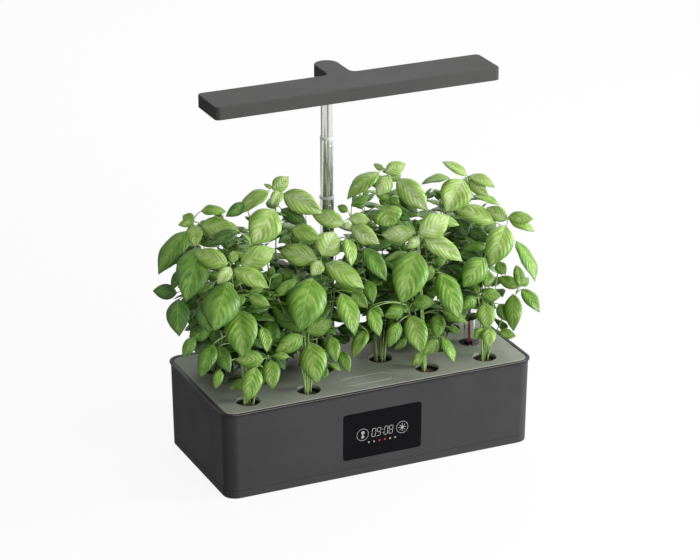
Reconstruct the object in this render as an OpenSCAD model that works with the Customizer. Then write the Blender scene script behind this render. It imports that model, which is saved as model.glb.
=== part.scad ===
// Countertop hydroponic garden: a water tank with twelve grow pods under an LED lamp
// on a telescoping mast. Millimetres, +Z up, origin at the centre of the footprint on the table.

/* [Base] */
// Length of the base
body_w = 403; // [398:1:408]
// Depth of the base
body_d = 189; // [187:1:193]
// Height of the deck's top face above the table
deck_z = 110.1; // [108:0.1:112]
// Radius of the base's upright corners
corner_r = 16; // [14:1:18]
// How far each side leans in between the rim and the table
taper = 1.3; // [0.5:0.1:2]
// Thickness of the outer housing's wall
wall = 2.6; // [2.2:0.1:2.8]
// Height of the seam between the bottom pan and the housing
seam_z = 10; // [9:0.1:11]
// How far the rubber feet stand out of the pan
foot_out = 0.4; // [0.3:0.1:1]
// How far the rim stands out of the housing all round
rim_out = 1.8; // [1.5:0.1:2.5]
// Height of the rim, from the tank's flange to the deck's top face
rim_h = 5.4; // [5:0.1:6]

/* [Deck] */
// Thickness of the deck plate
deck_t = 2.4; // [2.2:0.1:3]
// Diameter of a pod hole
pod_d = 29; // [28:0.1:30]
// Distance between pods in a row
pod_pitch = 78; // [76:0.5:79]
// Distance between rows of pods
row_pitch = 49.7; // [49:0.1:51]
// Place of the middle row, from front to back
middle_row_y = -14.3; // [-15:0.1:-13.5]
// Sideways shift of the pod pattern, which leaves room for the level gauge
pod_shift = -5; // [-6:0.5:-4]
// Length of the fill lid
lid_l = 64; // [60:1:66]
// Width of the fill lid
lid_w = 21; // [19:1:22]
// Gap round the fill lid
lid_gap = 0.45; // [0.4:0.05:0.6]

/* [Level gauge] */
// Distance of the gauge to the right of the middle
gauge_x = 154.7; // [153:0.1:156]
// Diameter of the gauge's plug
plug_d = 25.6; // [25:0.1:26]
// Diameter of the clear tube
gauge_tube_d = 14; // [13:0.5:15]
// Height of the clear tube's top above the deck
gauge_tube_h = 52; // [48:1:56]

/* [Mast] */
// Distance of the mast behind the middle
mast_y = 66.5; // [65:0.5:68]
// Outside diameter of the thinnest tube
upper_tube_d = 14.4; // [14:0.1:14.8]
// Wall of every tube
tube_wall = 0.8; // [0.7:0.05:0.9]
// Running clearance between two tubes, on the radius
tube_fit = 0.05; // [0.02:0.01:0.08]
// Height of the lower tube's collar
lower_collar_z = 296; // [292:0.5:300]
// Height of the middle tube's collar
upper_collar_z = 371.8; // [368:0.1:374]
// Distance of a snap button below its collar
button_drop = 7.5; // [7:0.5:9]
// Diameter of a snap button
button_d = 3.1; // [2.8:0.1:3.4]

/* [Lamp] */
// Length of the lamp bar
lamp_w = 364; // [354:1:372]
// Depth of the lamp bar
lamp_d = 59; // [56:0.5:61]
// Thickness of the lamp
lamp_t = 15.7; // [15:0.1:17]
// Height of the lamp's underside above the table
lamp_z = 450.3; // [448:0.1:453]
// Distance of the bar's middle from the base's middle, to the back
lamp_y = -2.5; // [-4:0.5:0]
// Width of the stem that reaches back to the mast
stem_w = 30; // [28:1:34]
// Radius of the bar's upright corners
lamp_corner_r = 6; // [5:0.5:8]
// Radius of the lamp's top edge
lamp_edge_r = 1.2; // [0.8:0.1:1.6]

/* [Crop] */
// Height of the tallest plant
crop_z = 347; // [334:1:348]
// Farthest reach of the leaves to either side of the middle
crop_reach_x = 262; // [255:1:268]
// Farthest reach of the leaves to the front and back
crop_reach_y = 111; // [106:1:114]
// How far the plants lean apart: place of a stem's top against that of its pod
crown_spread = 1.18; // [1.08:0.02:1.24]

/* [Hidden] */
$fn = 48;
skin = 0.01;            // thickness of the slices that a hull joins
slack = 0.1;            // gap between two fixed pieces that fit together
cut = 1;                // how far a cutter runs past what it cuts

// heights in the base, from the table up
pan_z = foot_out;
pan_t = 2.4;
pan_edge_r = 0.7;
shoulder_z = seam_z + 0.4;
tongue_top_z = shoulder_z + 3.4;
tongue_t = 1.5;
tank_z = 26;
tank_wall = 2;
rim_z = deck_z - rim_h;
flange_t = 2;
ledge_t = 3;
deck_under_z = deck_z - deck_t;
bead_z = deck_under_z;  // the rim's bead lies on the housing's edge, level with the deck plate
skirt_h = 1.5;

// insets from the body's outline
tongue_inset = wall + taper + 0.2;
tank_inset = 7;
rim_skirt_inset = 1.2;
rim_lip_inset = 2.8;
rim_ledge_inset = 8.6;
deck_inset = 3.3;
deck_edge_r = 0.8;
deck_rib_h = 2.2;

// pods: four in the front row, four in the staggered middle row, four in the back row
row_steps = [[-2, -1, 1, 2], [-1.5, -0.5, 0.5, 1.5], [-2, -1, 1, 2]];
pods = [for (row = [0:2]) for (step = row_steps[row])
    [pod_shift + step * pod_pitch, middle_row_y + (row - 1) * row_pitch]];
well_wall = 1.8;
well_ledge_z = deck_z - 5;
well_bottom_z = deck_z - 9;
well_bore_d = pod_d - 3.4;
basket_flange_t = 1.6;
basket_wall = 1.2;
basket_bottom_z = 60;
basket_top_d = well_bore_d - 0.6;
basket_bottom_d = 20;
sponge_top_z = deck_z - 4.3;

// plants: whorls of leaves up a leaning stem, the longest leaves on the third and fourth whorl
crown_drop = [[68, 72, 72, 76], [50, 57, 51, 45], [33, 8, 0, 12]];
stems_join_z = 134;
first_leaves_z = 148;
leaf_level = 27;
longest_leaf = 36;
leaf_t = 1.2;
leaf_fold = 16;
leaf_stalk = 5;

// fill lid and its pin, which lies across the lid near its left end
lid_x = -7;
lid_y = middle_row_y - row_pitch - 1;
lid_t = 2.4;
lid_pin_d = 2;
lid_pin_x = lid_x - 20;
lid_pin_z = deck_z - 2.3;
lid_boss_r = 2.2;
chute_wall = 1.6;
chute_bottom_z = deck_z - 12;

// level gauge
gauge_y = middle_row_y - 1;
plug_neck_d = plug_d - 4;
float_d = 18;
float_h = 14;
float_z = 56;
float_rod_d = 3;
float_rod_top_z = deck_z + 42;
cage_wall = 1.2;
cage_bottom_z = 32;

// pump
pump_at = [62, 56];
pump_size = [44, 32, 22];
pump_z = tank_z + tank_wall + 3;

// electronics
main_board_z = 9;
main_board_at = [140, -35];
main_board_holes = [for (x = [-32, 32], y = [-18, 18]) [x, y]];
glass_w = 103;
glass_h = 60;
glass_t = 1.6;
glass_r = 4;
glass_z = 52.1;
front_tilt = atan(taper / rim_z);
board_t = 1.6;
jack_x = 150;
jack_z = 17.5;
jack_d = 8;
jack_flange_t = 1;

// fasteners in the base
base_screws_at = concat(
    [for (side = [-1, 1], y = [-40, 40]) [side * (body_w / 2 - 7), y]],
    [for (x = [-70, 70], side = [-1, 1]) [x, side * (body_d / 2 - 7.5)]]);
boss_r = 4;
boss_top_z = 22;
screw_d = 3;
screw_head_d = 5.6;
screw_head_h = 2.2;
feet_at = [for (x = [-165, 165], y = [-66, 66]) [x, y]];
foot_d = 16;
foot_seat = 1.4;

// mast tubes: each slides in the next one down
middle_tube_d = upper_tube_d + 2 * (tube_wall + tube_fit);
lower_tube_d = middle_tube_d + 2 * (tube_wall + tube_fit);
collar_h = 3.2;
collar_lip = 1;
collar_wall = 0.35;
lower_tube_z = 30;
lower_tube_top_z = lower_collar_z + collar_h - collar_lip;
middle_tube_z = lower_collar_z - 24;
middle_tube_top_z = upper_collar_z + collar_h - collar_lip;
upper_tube_z = upper_collar_z - 21;
upper_tube_top_z = lamp_z + 11;
lower_button_z = lower_collar_z - button_drop;
upper_button_z = upper_collar_z - button_drop;
button_proud = 1.1;
index_hole_d = button_d + 0.8;
socket_d = 25;
socket_neck_d = 22.4;
socket_neck_top_z = deck_z + 1.5;
alcove_w = 40;
alcove_front_y = mast_y - 19;

// lamp
lamp_wall = 2;
lamp_top_t = 2.2;
lamp_top_z = lamp_z + lamp_t;
edge_steps = 4;
stem_fillet_r = 8;
tray_lift = 0.6;
tray_t = 1.8;
tray_top_z = lamp_z + tray_lift + tray_t;
led_window = [344, 36];
led_board_size = [346, 39];
led_pitch = 12;
led_rows = 3;
led_size = 3.4;
led_t = 1;
lamp_screws_at = [for (x = [-150, 0, 150], side = [-1, 1]) [x, lamp_y + side * 22.6]];
neck_d = 21;

function two_digits(i) = str(i < 9 ? "0" : "", i + 1);
function pod_node(kind, i) = str(kind, "_", two_digits(i));
function lean(z) = taper * (rim_z - z) / rim_z;
function hundredths(v) = round(v * 100) / 100;

// ---- shared shapes ----

module rounded_rect(w, d, r) {
    square([w - 2 * r, d], center = true);
    square([w, d - 2 * r], center = true);
    for (x = [-1, 1], y = [-1, 1])
        translate([x * (w / 2 - r), y * (d / 2 - r)]) circle(r);
}

module capsule(l, w) {
    square([l - w, w], center = true);
    for (side = [-1, 1]) translate([side * (l - w) / 2, 0]) circle(d = w);
}

// the base's outline, inset all round
module footprint(inset) {
    rounded_rect(body_w - 2 * inset, body_d - 2 * inset, max(corner_r - inset, 3));
}

module slab(inset, z0, z1) {
    translate([0, 0, z0]) linear_extrude(z1 - z0) footprint(inset);
}

// a slab whose sides lean in towards the table
module leaning_slab(inset, z0, z1) {
    hull() for (z = [z0, z1 - skin]) slab(inset + lean(z), z, z + skin);
}

module ring(outer_inset, inner_inset, z0, z1) {
    difference() {
        slab(outer_inset, z0, z1);
        slab(inner_inset, z0 - cut, z1 + cut);
    }
}

module tube(outer_d, inner_d, z0, z1) {
    translate([0, 0, z0]) difference() {
        cylinder(d = outer_d, h = z1 - z0);
        translate([0, 0, -cut]) cylinder(d = inner_d, h = z1 - z0 + 2 * cut);
    }
}

module rod(d, z0, z1) {
    translate([0, 0, z0]) cylinder(d = d, h = z1 - z0);
}

module box(size, at) {
    translate(at) translate([-size[0] / 2, -size[1] / 2, 0]) cube(size);
}

// children drawn in the plane of the leaning front face: X along it, Y up it, Z out of it
module on_front(z) {
    translate([0, -(body_d / 2 - lean(z)), z]) rotate([90 + front_tilt, 0, 0]) children();
}

module on_mast() {
    translate([0, mast_y, 0]) children();
}

module at_pods() {
    for (pod = pods) translate(pod) children();
}

// ---- base ----

module base_pan() color("#3c3c3c") difference() {
    union() {
        hull() {
            slab(lean(0) + pan_edge_r, pan_z, pan_z + skin);
            slab(lean(0) + 0.3 * pan_edge_r, pan_z + 0.3 * pan_edge_r, pan_z + 0.4 * pan_edge_r);
            slab(lean(0), pan_z + pan_edge_r, pan_z + pan_edge_r + skin);
            slab(lean(seam_z), seam_z - skin, seam_z);
        }
        ring(lean(0) + 0.8, tongue_inset + tongue_t, seam_z - skin, shoulder_z);
        ring(tongue_inset, tongue_inset + tongue_t, shoulder_z - skin, tongue_top_z);
    }
    difference() {
        slab(tongue_inset + tongue_t, pan_z + pan_t, tongue_top_z + cut);
        for (s = base_screws_at) translate(s) rod(2 * boss_r, 0, shoulder_z);
        translate(main_board_at) for (p = main_board_holes) translate(p) rod(5, 0, main_board_z);
        // stiffening ribs on the pan's floor
        for (x = [-90, 90]) box([1.6, body_d - 40, 6], [x, 0, 0]);
        for (y = [-30, 30]) box([140, 1.6, 6], [0, y, 0]);
    }
    for (s = base_screws_at) translate(s) {
        rod(2 * boss_r + 0.8, shoulder_z, tongue_top_z + cut);
        rod(screw_d + 0.4, -cut, shoulder_z + cut);
        rod(screw_head_d + 0.6, -cut, pan_z + screw_head_h + 0.6);
    }
    for (f = feet_at) translate(f) rod(foot_d + 2 * slack, -cut, pan_z + foot_seat);
    translate([jack_x, body_d / 2, jack_z]) rotate([90, 0, 0])
        translate([0, 0, -cut]) cylinder(d = 12.4, h = 14);
}

module rubber_feet() color("#1d1d1d") for (f = feet_at) translate(f) {
    rod(foot_d - 1, 0, foot_out);
    rod(foot_d, foot_out / 2, pan_z + foot_seat);
}

module base_screws() color("silver") for (s = base_screws_at) translate(s) difference() {
    union() {
        rod(screw_head_d, pan_z + 0.6, pan_z + 0.6 + screw_head_h);
        rod(screw_d, pan_z + screw_head_h, boss_top_z - 2);
    }
    for (a = [0, 90]) rotate(a) box([3.4, 0.8, 1.2 + cut], [0, 0, pan_z + 0.6 - cut]);
}

module outer_housing() color("#464646") difference() {
    union() {
        difference() {
            leaning_slab(0, shoulder_z, bead_z);
            leaning_slab(wall, shoulder_z - cut, bead_z + cut);
            slab(rim_skirt_inset, bead_z - skirt_h - slack, bead_z + cut);
        }
        difference() {
            ring(wall - 0.2, tank_inset - 0.4, rim_z - flange_t - ledge_t, rim_z - flange_t);
            // no ledge behind the front window, where the display board stands
            box([glass_w, 14, ledge_t + 2 * cut], [0, -body_d / 2, rim_z - flange_t - ledge_t - cut]);
        }
        for (s = base_screws_at) translate(s) rod(2 * boss_r, shoulder_z, boss_top_z);
        for (x = [-150, -90, -30, 30, 90]) box([2, 3.6, rim_z - 34], [x, body_d / 2 - 4.6, 30]);
        for (side = [-1, 1], y = [-40, 0, 40])
            box([3.6, 2, rim_z - 34], [side * (body_w / 2 - 4.6), y, 30]);
    }
    for (s = base_screws_at) translate(s) rod(screw_d, shoulder_z - cut, boss_top_z - 1.6);
    on_front(glass_z) translate([0, 0, -glass_t]) linear_extrude(glass_t + cut)
        rounded_rect(glass_w + 2 * slack, glass_h + 2 * slack, glass_r);
    on_front(glass_z) translate([0, 0, -10]) linear_extrude(12)
        rounded_rect(glass_w - 14, glass_h - 12, 2);
    translate([jack_x, body_d / 2 + cut, jack_z]) rotate([90, 0, 0]) cylinder(d = jack_d + 0.2, h = 8);
}

module tank_outline(inset) {
    front = -body_d / 2 + 9;
    back = body_d / 2 - tank_inset;
    difference() {
        translate([0, (front + back) / 2])
            rounded_rect(body_w - 2 * tank_inset - 2 * inset, back - front - 2 * inset, 9 - inset);
        translate([0, alcove_front_y + 30 - inset])
            rounded_rect(alcove_w + 2 * inset, 60, 5);
    }
}

module water_tank() color("#d9dbd8") difference() {
    union() {
        slab(wall + 0.3, rim_z - flange_t, rim_z);
        translate([0, 0, tank_z]) linear_extrude(rim_z - flange_t - tank_z + skin) tank_outline(0);
    }
    translate([0, 0, tank_z + tank_wall]) linear_extrude(rim_z - tank_z) tank_outline(tank_wall);
    on_mast() rod(socket_d + 1, rim_z - flange_t - cut, rim_z + cut);
}

module top_rim() color("#2b2b2b") difference() {
    union() {
        // the bead that overhangs the housing
        hull() {
            slab(-rim_out + 0.4, bead_z, bead_z + skin);
            slab(-rim_out, bead_z + 0.4, deck_z - 1);
            slab(-rim_out + 0.3, deck_z - 0.4, deck_z - 0.4 + skin);
            slab(-rim_out + 0.9, deck_z - skin, deck_z);
        }
        slab(rim_skirt_inset + slack, bead_z - skirt_h, bead_z + skin);
        slab(wall + 0.15, rim_z, bead_z);
    }
    slab(rim_lip_inset, deck_under_z, deck_z + cut);
    slab(rim_ledge_inset, rim_z - cut, deck_z + cut);
}

// ---- deck and its lid ----

module lid_outline(grow) {
    capsule(lid_l + 2 * grow, lid_w + 2 * grow);
}

module at_lid() {
    translate([lid_x, lid_y, 0]) children();
}

module lid_pin_shape(d, l) {
    translate([lid_pin_x, lid_y, lid_pin_z]) rotate([90, 0, 0]) cylinder(d = d, h = l, center = true);
}

// stiffening ribs under the deck, between the wells of the back row and of the middle row
module deck_ribs() {
    back_row_y = middle_row_y + row_pitch;
    for (step = [-1.5, 1.5]) box([1.6, 26, deck_rib_h],
        [pod_shift + step * pod_pitch, back_row_y + 22, deck_under_z - deck_rib_h]);
    for (step = [-2, -1, 1]) box([1.6, 22, deck_rib_h],
        [pod_shift + step * pod_pitch, middle_row_y, deck_under_z - deck_rib_h]);
}

module deck() color("#76796f") difference() {
    union() {
        hull() {
            slab(deck_inset, deck_under_z, deck_z - deck_edge_r);
            slab(deck_inset + 0.3 * deck_edge_r, deck_z - 0.3 * deck_edge_r, deck_z - 0.2 * deck_edge_r);
            slab(deck_inset + deck_edge_r, deck_z - skin, deck_z);
        }
        // the lip that finds the rim's opening
        ring(rim_ledge_inset + 0.3, rim_ledge_inset + 1.9, rim_z + 0.2, deck_under_z + skin);
        at_pods() rod(pod_d + 2 * well_wall, well_bottom_z, deck_under_z + skin);
        translate([gauge_x, gauge_y]) rod(plug_d + 0.4 + 2 * well_wall, well_bottom_z, deck_under_z + skin);
        at_lid() translate([0, 0, chute_bottom_z])
            linear_extrude(deck_under_z - chute_bottom_z + skin) lid_outline(lid_gap + chute_wall);
        on_mast() rod(socket_d + 4, rim_z + 0.6, deck_under_z + skin);
        deck_ribs();
    }
    at_pods() {
        rod(pod_d, well_ledge_z, deck_z + cut);
        rod(well_bore_d, well_bottom_z - cut, deck_z);
    }
    translate([gauge_x, gauge_y]) {
        rod(plug_d + 0.4, well_ledge_z, deck_z + cut);
        rod(plug_neck_d + 0.8, well_bottom_z - cut, deck_z);
    }
    at_lid() difference() {
        translate([0, 0, chute_bottom_z - cut]) linear_extrude(deck_z) lid_outline(lid_gap);
        // the ledge under the lid's free end
        box([8, lid_w + 4, 1.6], [lid_l / 2 - 2, 0, deck_z - lid_t - 1.6]);
    }
    lid_pin_shape(lid_pin_d + 0.06, lid_w + 5);
    on_mast() {
        rod(socket_neck_d + 0.6, rim_z, deck_z + cut);
        rod(socket_d + 1, rim_z - cut, deck_under_z - 0.4);
    }
}

module fill_lid() color("#7b7e75") difference() {
    union() {
        at_lid() translate([0, 0, deck_z - lid_t]) linear_extrude(lid_t) lid_outline(0);
        lid_pin_shape(2 * lid_boss_r, lid_w - 1.2);
        // stiffening rib along the underside
        box([30, 2, 2.4], [lid_x + 4, lid_y, deck_z - lid_t - 2]);
    }
    lid_pin_shape(lid_pin_d + 0.06, lid_w + cut);
}

module lid_pin() color("silver") lid_pin_shape(lid_pin_d, lid_w + 4.4);

// ---- level gauge ----

module gauge_plug() color("#202020") translate([gauge_x, gauge_y]) difference() {
    union() {
        rod(plug_d, well_ledge_z, deck_z - 0.4);
        rod(plug_neck_d, well_bottom_z - 3, well_ledge_z + skin);
        difference() {
            tube(plug_neck_d, plug_neck_d - 2 * cage_wall, cage_bottom_z, well_bottom_z);
            for (a = [0, 90]) rotate(a + 45)
                box([plug_d, 9, well_bottom_z - cage_bottom_z - 10], [0, 0, cage_bottom_z + 4]);
        }
    }
    rod(gauge_tube_d + 2 * slack, deck_z - 4.4, deck_z + cut);
    rod(float_rod_d + 1.2, well_bottom_z - 4, deck_z);
    for (a = [0:45:315]) rotate(a) box([3.4, 1.2, 1.4], [plug_d / 2 - 3.1, 0, deck_z - 1.4]);
}

module gauge_tube() color([0.9, 0.95, 0.95, 0.4]) translate([gauge_x, gauge_y]) {
    bore_d = gauge_tube_d - 2;
    foot_z = deck_z - 4.4;
    top_z = deck_z + gauge_tube_h;
    difference() {
        union() {
            rod(gauge_tube_d, foot_z, top_z - gauge_tube_d / 2);
            translate([0, 0, top_z - gauge_tube_d / 2]) sphere(d = gauge_tube_d);
        }
        rod(bore_d, foot_z - cut, top_z - gauge_tube_d / 2);
        translate([0, 0, top_z - gauge_tube_d / 2]) sphere(d = bore_d);
    }
}

module float_rod() color("crimson") translate([gauge_x, gauge_y])
    rod(float_rod_d, float_z + float_h, float_rod_top_z);

module float_block() color("whitesmoke") translate([gauge_x, gauge_y]) rotate_extrude()
    polygon([[0, float_z], [float_d / 2 - 1.5, float_z], [float_d / 2, float_z + 1.5],
             [float_d / 2, float_z + float_h - 1.5], [float_d / 2 - 1.5, float_z + float_h],
             [0, float_z + float_h]]);

// ---- pump ----

module pump_body() color("#26282a") translate(pump_at) difference() {
    union() {
        translate([0, 0, pump_z]) linear_extrude(pump_size[2]) rounded_rect(pump_size[0], pump_size[1], 5);
        for (x = [-14, 14], y = [-9, 9]) translate([x, y]) {
            rod(5, pump_z - 1.6, pump_z + 1);
            translate([0, 0, tank_z + tank_wall]) cylinder(d1 = 9, d2 = 5, h = 1.6);
        }
        translate([12, 0]) rod(9, pump_z, pump_z + pump_size[2] + 5);
    }
    translate([12, 0]) rod(6, pump_z + 8, pump_z + pump_size[2] + 6);
    // the pocket for the filter and the intake slots behind it
    box([9, pump_size[1] - 8, pump_size[2] - 6], [-pump_size[0] / 2 + 3.5, 0, pump_z + 3]);
    for (y = [-8:4:8]) box([12, 1.6, 12], [-pump_size[0] / 2 + 9, y, pump_z + 5]);
}

module pump_filter() color("#3d4a4f") translate(pump_at)
    box([7.6, pump_size[1] - 8.4, pump_size[2] - 6.4], [-pump_size[0] / 2 + 4, 0, pump_z + 3.2]);

// ---- electronics ----

module touch_glass() color("#17171a") on_front(glass_z) translate([0, 0, -glass_t])
    linear_extrude(glass_t + 0.2) rounded_rect(glass_w, glass_h, glass_r);

module display_board() color("#1f5a3a") on_front(glass_z) {
    translate([0, 0, -glass_t - 3 - board_t]) difference() {
        linear_extrude(board_t) rounded_rect(glass_w - 16, glass_h - 14, 2);
        for (x = [-38, 38], y = [-17, 17]) translate([x, y, -cut]) cylinder(d = 3, h = board_t + 2 * cut);
    }
    // digit block and the two touch pads stand against the back of the glass
    translate([0, 1, -glass_t - 3 - skin]) linear_extrude(3) rounded_rect(34, 14, 1);
    for (x = [-26, 26]) translate([x, 1, -glass_t - 3 - skin]) cylinder(d = 11, h = 3);
    translate([0, -11, -glass_t - 3 - skin]) linear_extrude(2) rounded_rect(40, 4, 1);
}

module main_board() color("#1f5a3a") translate([each main_board_at, main_board_z]) {
    difference() {
        linear_extrude(board_t) rounded_rect(76, 46, 2);
        for (p = main_board_holes) translate([each p, -cut]) cylinder(d = 3, h = board_t + 2 * cut);
    }
    for (x = [-20, -8]) translate([x, 12]) rod(8, board_t - skin, 10);
    box([10, 10, 3], [6, -2, board_t - skin]);
    for (x = [-24, 8, 24]) box([10, 6, 7], [x, -17, board_t - skin]);
    box([9, 9, 5], [26, 8, board_t - skin]);
}

module dc_jack() color("#151515") translate([jack_x, body_d / 2, jack_z]) rotate([90, 0, 0])
    translate([0, 0, lean(jack_z) - jack_flange_t - slack]) {
        difference() {
            union() {
                cylinder(d = jack_d, h = 14);
                cylinder(d = jack_d + 3, h = jack_flange_t);
            }
            translate([0, 0, -cut]) cylinder(d = 5.6, h = 10 + cut);
        }
        translate([0, 0, 0.6]) cylinder(d = 2, h = 10);
    }

// ---- mast ----

module mast_socket() color("#262626") on_mast() difference() {
    union() {
        rod(socket_d, pan_z + pan_t, deck_under_z - 0.6);
        rod(socket_neck_d, deck_under_z - 0.6 - skin, socket_neck_top_z - 1);
        translate([0, 0, socket_neck_top_z - 1]) cylinder(d1 = socket_neck_d, d2 = socket_neck_d - 2, h = 1);
        box([36, 34, 3], [0, 0, pan_z + pan_t]);
        for (a = [0:90:270]) rotate(a + 45) translate([0, -1, pan_z + pan_t]) cube([16, 2, 14]);
    }
    rod(lower_tube_d + 2 * tube_fit, lower_tube_z, socket_neck_top_z + cut);
    rod(9, pan_z + pan_t + 3, lower_tube_z + cut);
}

// a round hole through the front of a mast tube
module front_hole(d, z) {
    translate([0, -lower_tube_d, z]) rotate([-90, 0, 0]) cylinder(d = d, h = lower_tube_d);
}

module lower_tube() color("#b8bab4") on_mast() difference() {
    tube(lower_tube_d, lower_tube_d - 2 * tube_wall, lower_tube_z, lower_tube_top_z);
    front_hole(button_d + 2 * tube_fit, lower_button_z);
}

module middle_tube() color("#b8bab4") on_mast() difference() {
    tube(middle_tube_d, middle_tube_d - 2 * tube_wall, middle_tube_z, middle_tube_top_z);
    front_hole(index_hole_d, lower_button_z);
    front_hole(button_d + 2 * tube_fit, upper_button_z);
}

module upper_tube() color("#b8bab4") on_mast() difference() {
    tube(upper_tube_d, upper_tube_d - 2 * tube_wall, upper_tube_z, upper_tube_top_z);
    front_hole(index_hole_d, upper_button_z);
}

// a cap ring: it grips the outer tube's end and guides the inner tube
module collar(tube_d, z) {
    difference() {
        rod(tube_d + 2 * collar_wall, z, z + collar_h);
        rod(tube_d + 0.02, z - cut, z + collar_h - collar_lip);
        rod(tube_d - 2 * tube_wall, z - cut, z + collar_h + cut);
    }
}

module lower_collar() color("white") on_mast() collar(lower_tube_d, lower_collar_z);
module upper_collar() color("white") on_mast() collar(middle_tube_d, upper_collar_z);

// a domed button that stands in a tube's wall
module snap_button(tube_d, z) {
    inner_y = tube_d / 2 - tube_wall + 0.02;
    length = tube_wall + button_proud;
    translate([0, -inner_y, z]) rotate([90, 0, 0]) intersection() {
        cylinder(d = button_d, h = length);
        translate([0, 0, length - button_d * 0.7]) sphere(r = button_d * 0.7);
    }
}

module lower_button() color("white") on_mast() snap_button(lower_tube_d, lower_button_z);
module upper_button() color("white") on_mast() snap_button(middle_tube_d, upper_button_z);

// a V-shaped leaf that stands inside a tube behind its button
module leaf_spring(reach, z) {
    t = 0.5;
    translate([-2.5, 0, z]) rotate([90, 0, 90]) linear_extrude(5) polygon([
        [-reach, 5], [-reach, -4], [-1, -14], [1, -14], [reach, -4], [reach, 5],
        [reach - t, 5], [reach - t, -4], [0.8, -14 + t], [-0.8, -14 + t], [-reach + t, -4], [-reach + t, 5]]);
}

module lower_spring() color("gainsboro") on_mast()
    leaf_spring(middle_tube_d / 2 - tube_wall - 0.7, lower_button_z);
module upper_spring() color("gainsboro") on_mast()
    leaf_spring(upper_tube_d / 2 - tube_wall - 0.75, upper_button_z);

// ---- lamp ----

// a T: the bar, and the stem that reaches back to the mast and ends round it
module lamp_outline(inset) {
    bar_back = lamp_y + lamp_d / 2 - inset;
    half = stem_w / 2 - inset;
    fillet = stem_fillet_r + inset;
    translate([0, lamp_y]) rounded_rect(lamp_w - 2 * inset, lamp_d - 2 * inset, lamp_corner_r - inset);
    translate([-half, lamp_y]) square([2 * half, mast_y - lamp_y]);
    translate([0, mast_y]) circle(half);
    // each fillet patch overlaps the bar and the stem, and stops at the circle's tangent points
    for (side = [-1, 1]) mirror([side < 0 ? 1 : 0, 0]) difference() {
        translate([half - fillet / 2, bar_back - fillet / 2]) square(1.5 * fillet);
        translate([half + fillet, bar_back + fillet]) circle(fillet);
    }
}

module lamp_layer(inset, z0, z1) {
    translate([0, 0, z0]) linear_extrude(z1 - z0) lamp_outline(inset);
}

module lamp_cover() color("#5d5d5b") difference() {
    union() {
        lamp_layer(0, lamp_z, lamp_top_z - lamp_edge_r);
        // the rounded top edge, as steps round a quarter circle
        for (step = [0:edge_steps - 1]) {
            turn = 90 / edge_steps;
            inset = lamp_edge_r * (1 - cos((step + 0.5) * turn));
            drop = lamp_edge_r * (1 - sin(step * turn));
            next_drop = lamp_edge_r * (1 - sin((step + 1) * turn));
            lamp_layer(hundredths(inset), lamp_top_z - hundredths(drop) - skin,
                       lamp_top_z - hundredths(next_drop));
        }
    }
    difference() {
        lamp_layer(lamp_wall, lamp_z - cut, lamp_top_z - lamp_top_t);
        for (s = lamp_screws_at) translate(s) rod(5.6, tray_top_z, lamp_top_z);
        for (x = [-100, -50, 50, 100]) box([1.6, lamp_d, 4], [x, lamp_y, lamp_top_z - lamp_top_t - 4]);
    }
    for (s = lamp_screws_at) translate(s) rod(2.2, tray_top_z - cut, lamp_top_z - lamp_top_t - 1);
}

module lamp_tray() color("#e4e4e0") difference() {
    lamp_layer(lamp_wall + 0.15, lamp_z + tray_lift, tray_top_z);
    translate([0, lamp_y, lamp_z - cut]) linear_extrude(10) rounded_rect(led_window[0], led_window[1], 3);
    on_mast() rod(neck_d + 0.4, lamp_z - cut, tray_top_z + cut);
    for (s = lamp_screws_at) translate(s) {
        rod(2.6, lamp_z - cut, tray_top_z + cut);
        rod(4.6, lamp_z - cut, lamp_z + tray_lift + 1);
    }
}

module led_board() color("#eceee8") translate([0, lamp_y, tray_top_z]) difference() {
    linear_extrude(board_t) rounded_rect(led_board_size[0], led_board_size[1], 3);
    for (side = [-1, 1]) translate([side * 168, 0, -cut]) cylinder(d = 3, h = board_t + 2 * cut);
}

module led_chips() color("#f4efc8") translate([0, lamp_y, tray_top_z - led_t])
    for (x = [-13 * led_pitch:led_pitch:13 * led_pitch], row = [1:led_rows])
        box([led_size, led_size, led_t], [x, (row - (led_rows + 1) / 2) * led_pitch, 0]);

module lamp_screws() color("silver") for (s = lamp_screws_at) translate(s) {
    rod(4.2, lamp_z + tray_lift + 0.2, lamp_z + tray_lift + 1);
    rod(2, lamp_z + tray_lift + 1 - skin, lamp_top_z - lamp_top_t - 2);
}

module neck_socket() color("#2c2c2c") on_mast() difference() {
    union() {
        rod(neck_d, lamp_z - 2, lamp_top_z - lamp_top_t);
        rod(neck_d + 3, tray_top_z, tray_top_z + 2);
    }
    rod(upper_tube_d + 2 * tube_fit, lamp_z - 2 - cut, upper_tube_top_z);
}

// ---- pods ----

module basket_cup(z0, z1, d0, d1) {
    translate([0, 0, z0]) cylinder(d1 = d0, d2 = d1, h = z1 - z0);
}

module basket(i) color("#1b1b1b") translate(pods[i]) difference() {
    union() {
        rod(pod_d - 0.6, well_ledge_z, well_ledge_z + basket_flange_t);
        basket_cup(basket_bottom_z, well_ledge_z + skin, basket_bottom_d, basket_top_d);
    }
    basket_cup(basket_bottom_z + basket_wall, deck_z, basket_bottom_d - 2 * basket_wall,
               basket_top_d - 2 * basket_wall);
    for (a = [0, 60, 120]) rotate(a) box([pod_d, 2.4, 26], [0, 0, basket_bottom_z + 4]);
    for (a = [30, 90, 150]) rotate(a) box([basket_bottom_d - 6, 1.8, 4], [0, 0, basket_bottom_z - cut]);
}

module sponges() color("#3a2a1c") at_pods()
    basket_cup(basket_bottom_z + basket_wall + slack, sponge_top_z,
               basket_bottom_d - 2 * basket_wall - 0.5, basket_top_d - 2 * basket_wall - 0.6);

// a round bar from one point to another
module strut(from, to, d) {
    v = to - from;
    translate(from) rotate([0, acos(v[2] / norm(v)), atan2(v[1], v[0])])
        cylinder(d = d, h = norm(v), $fn = 8);
}

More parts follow.
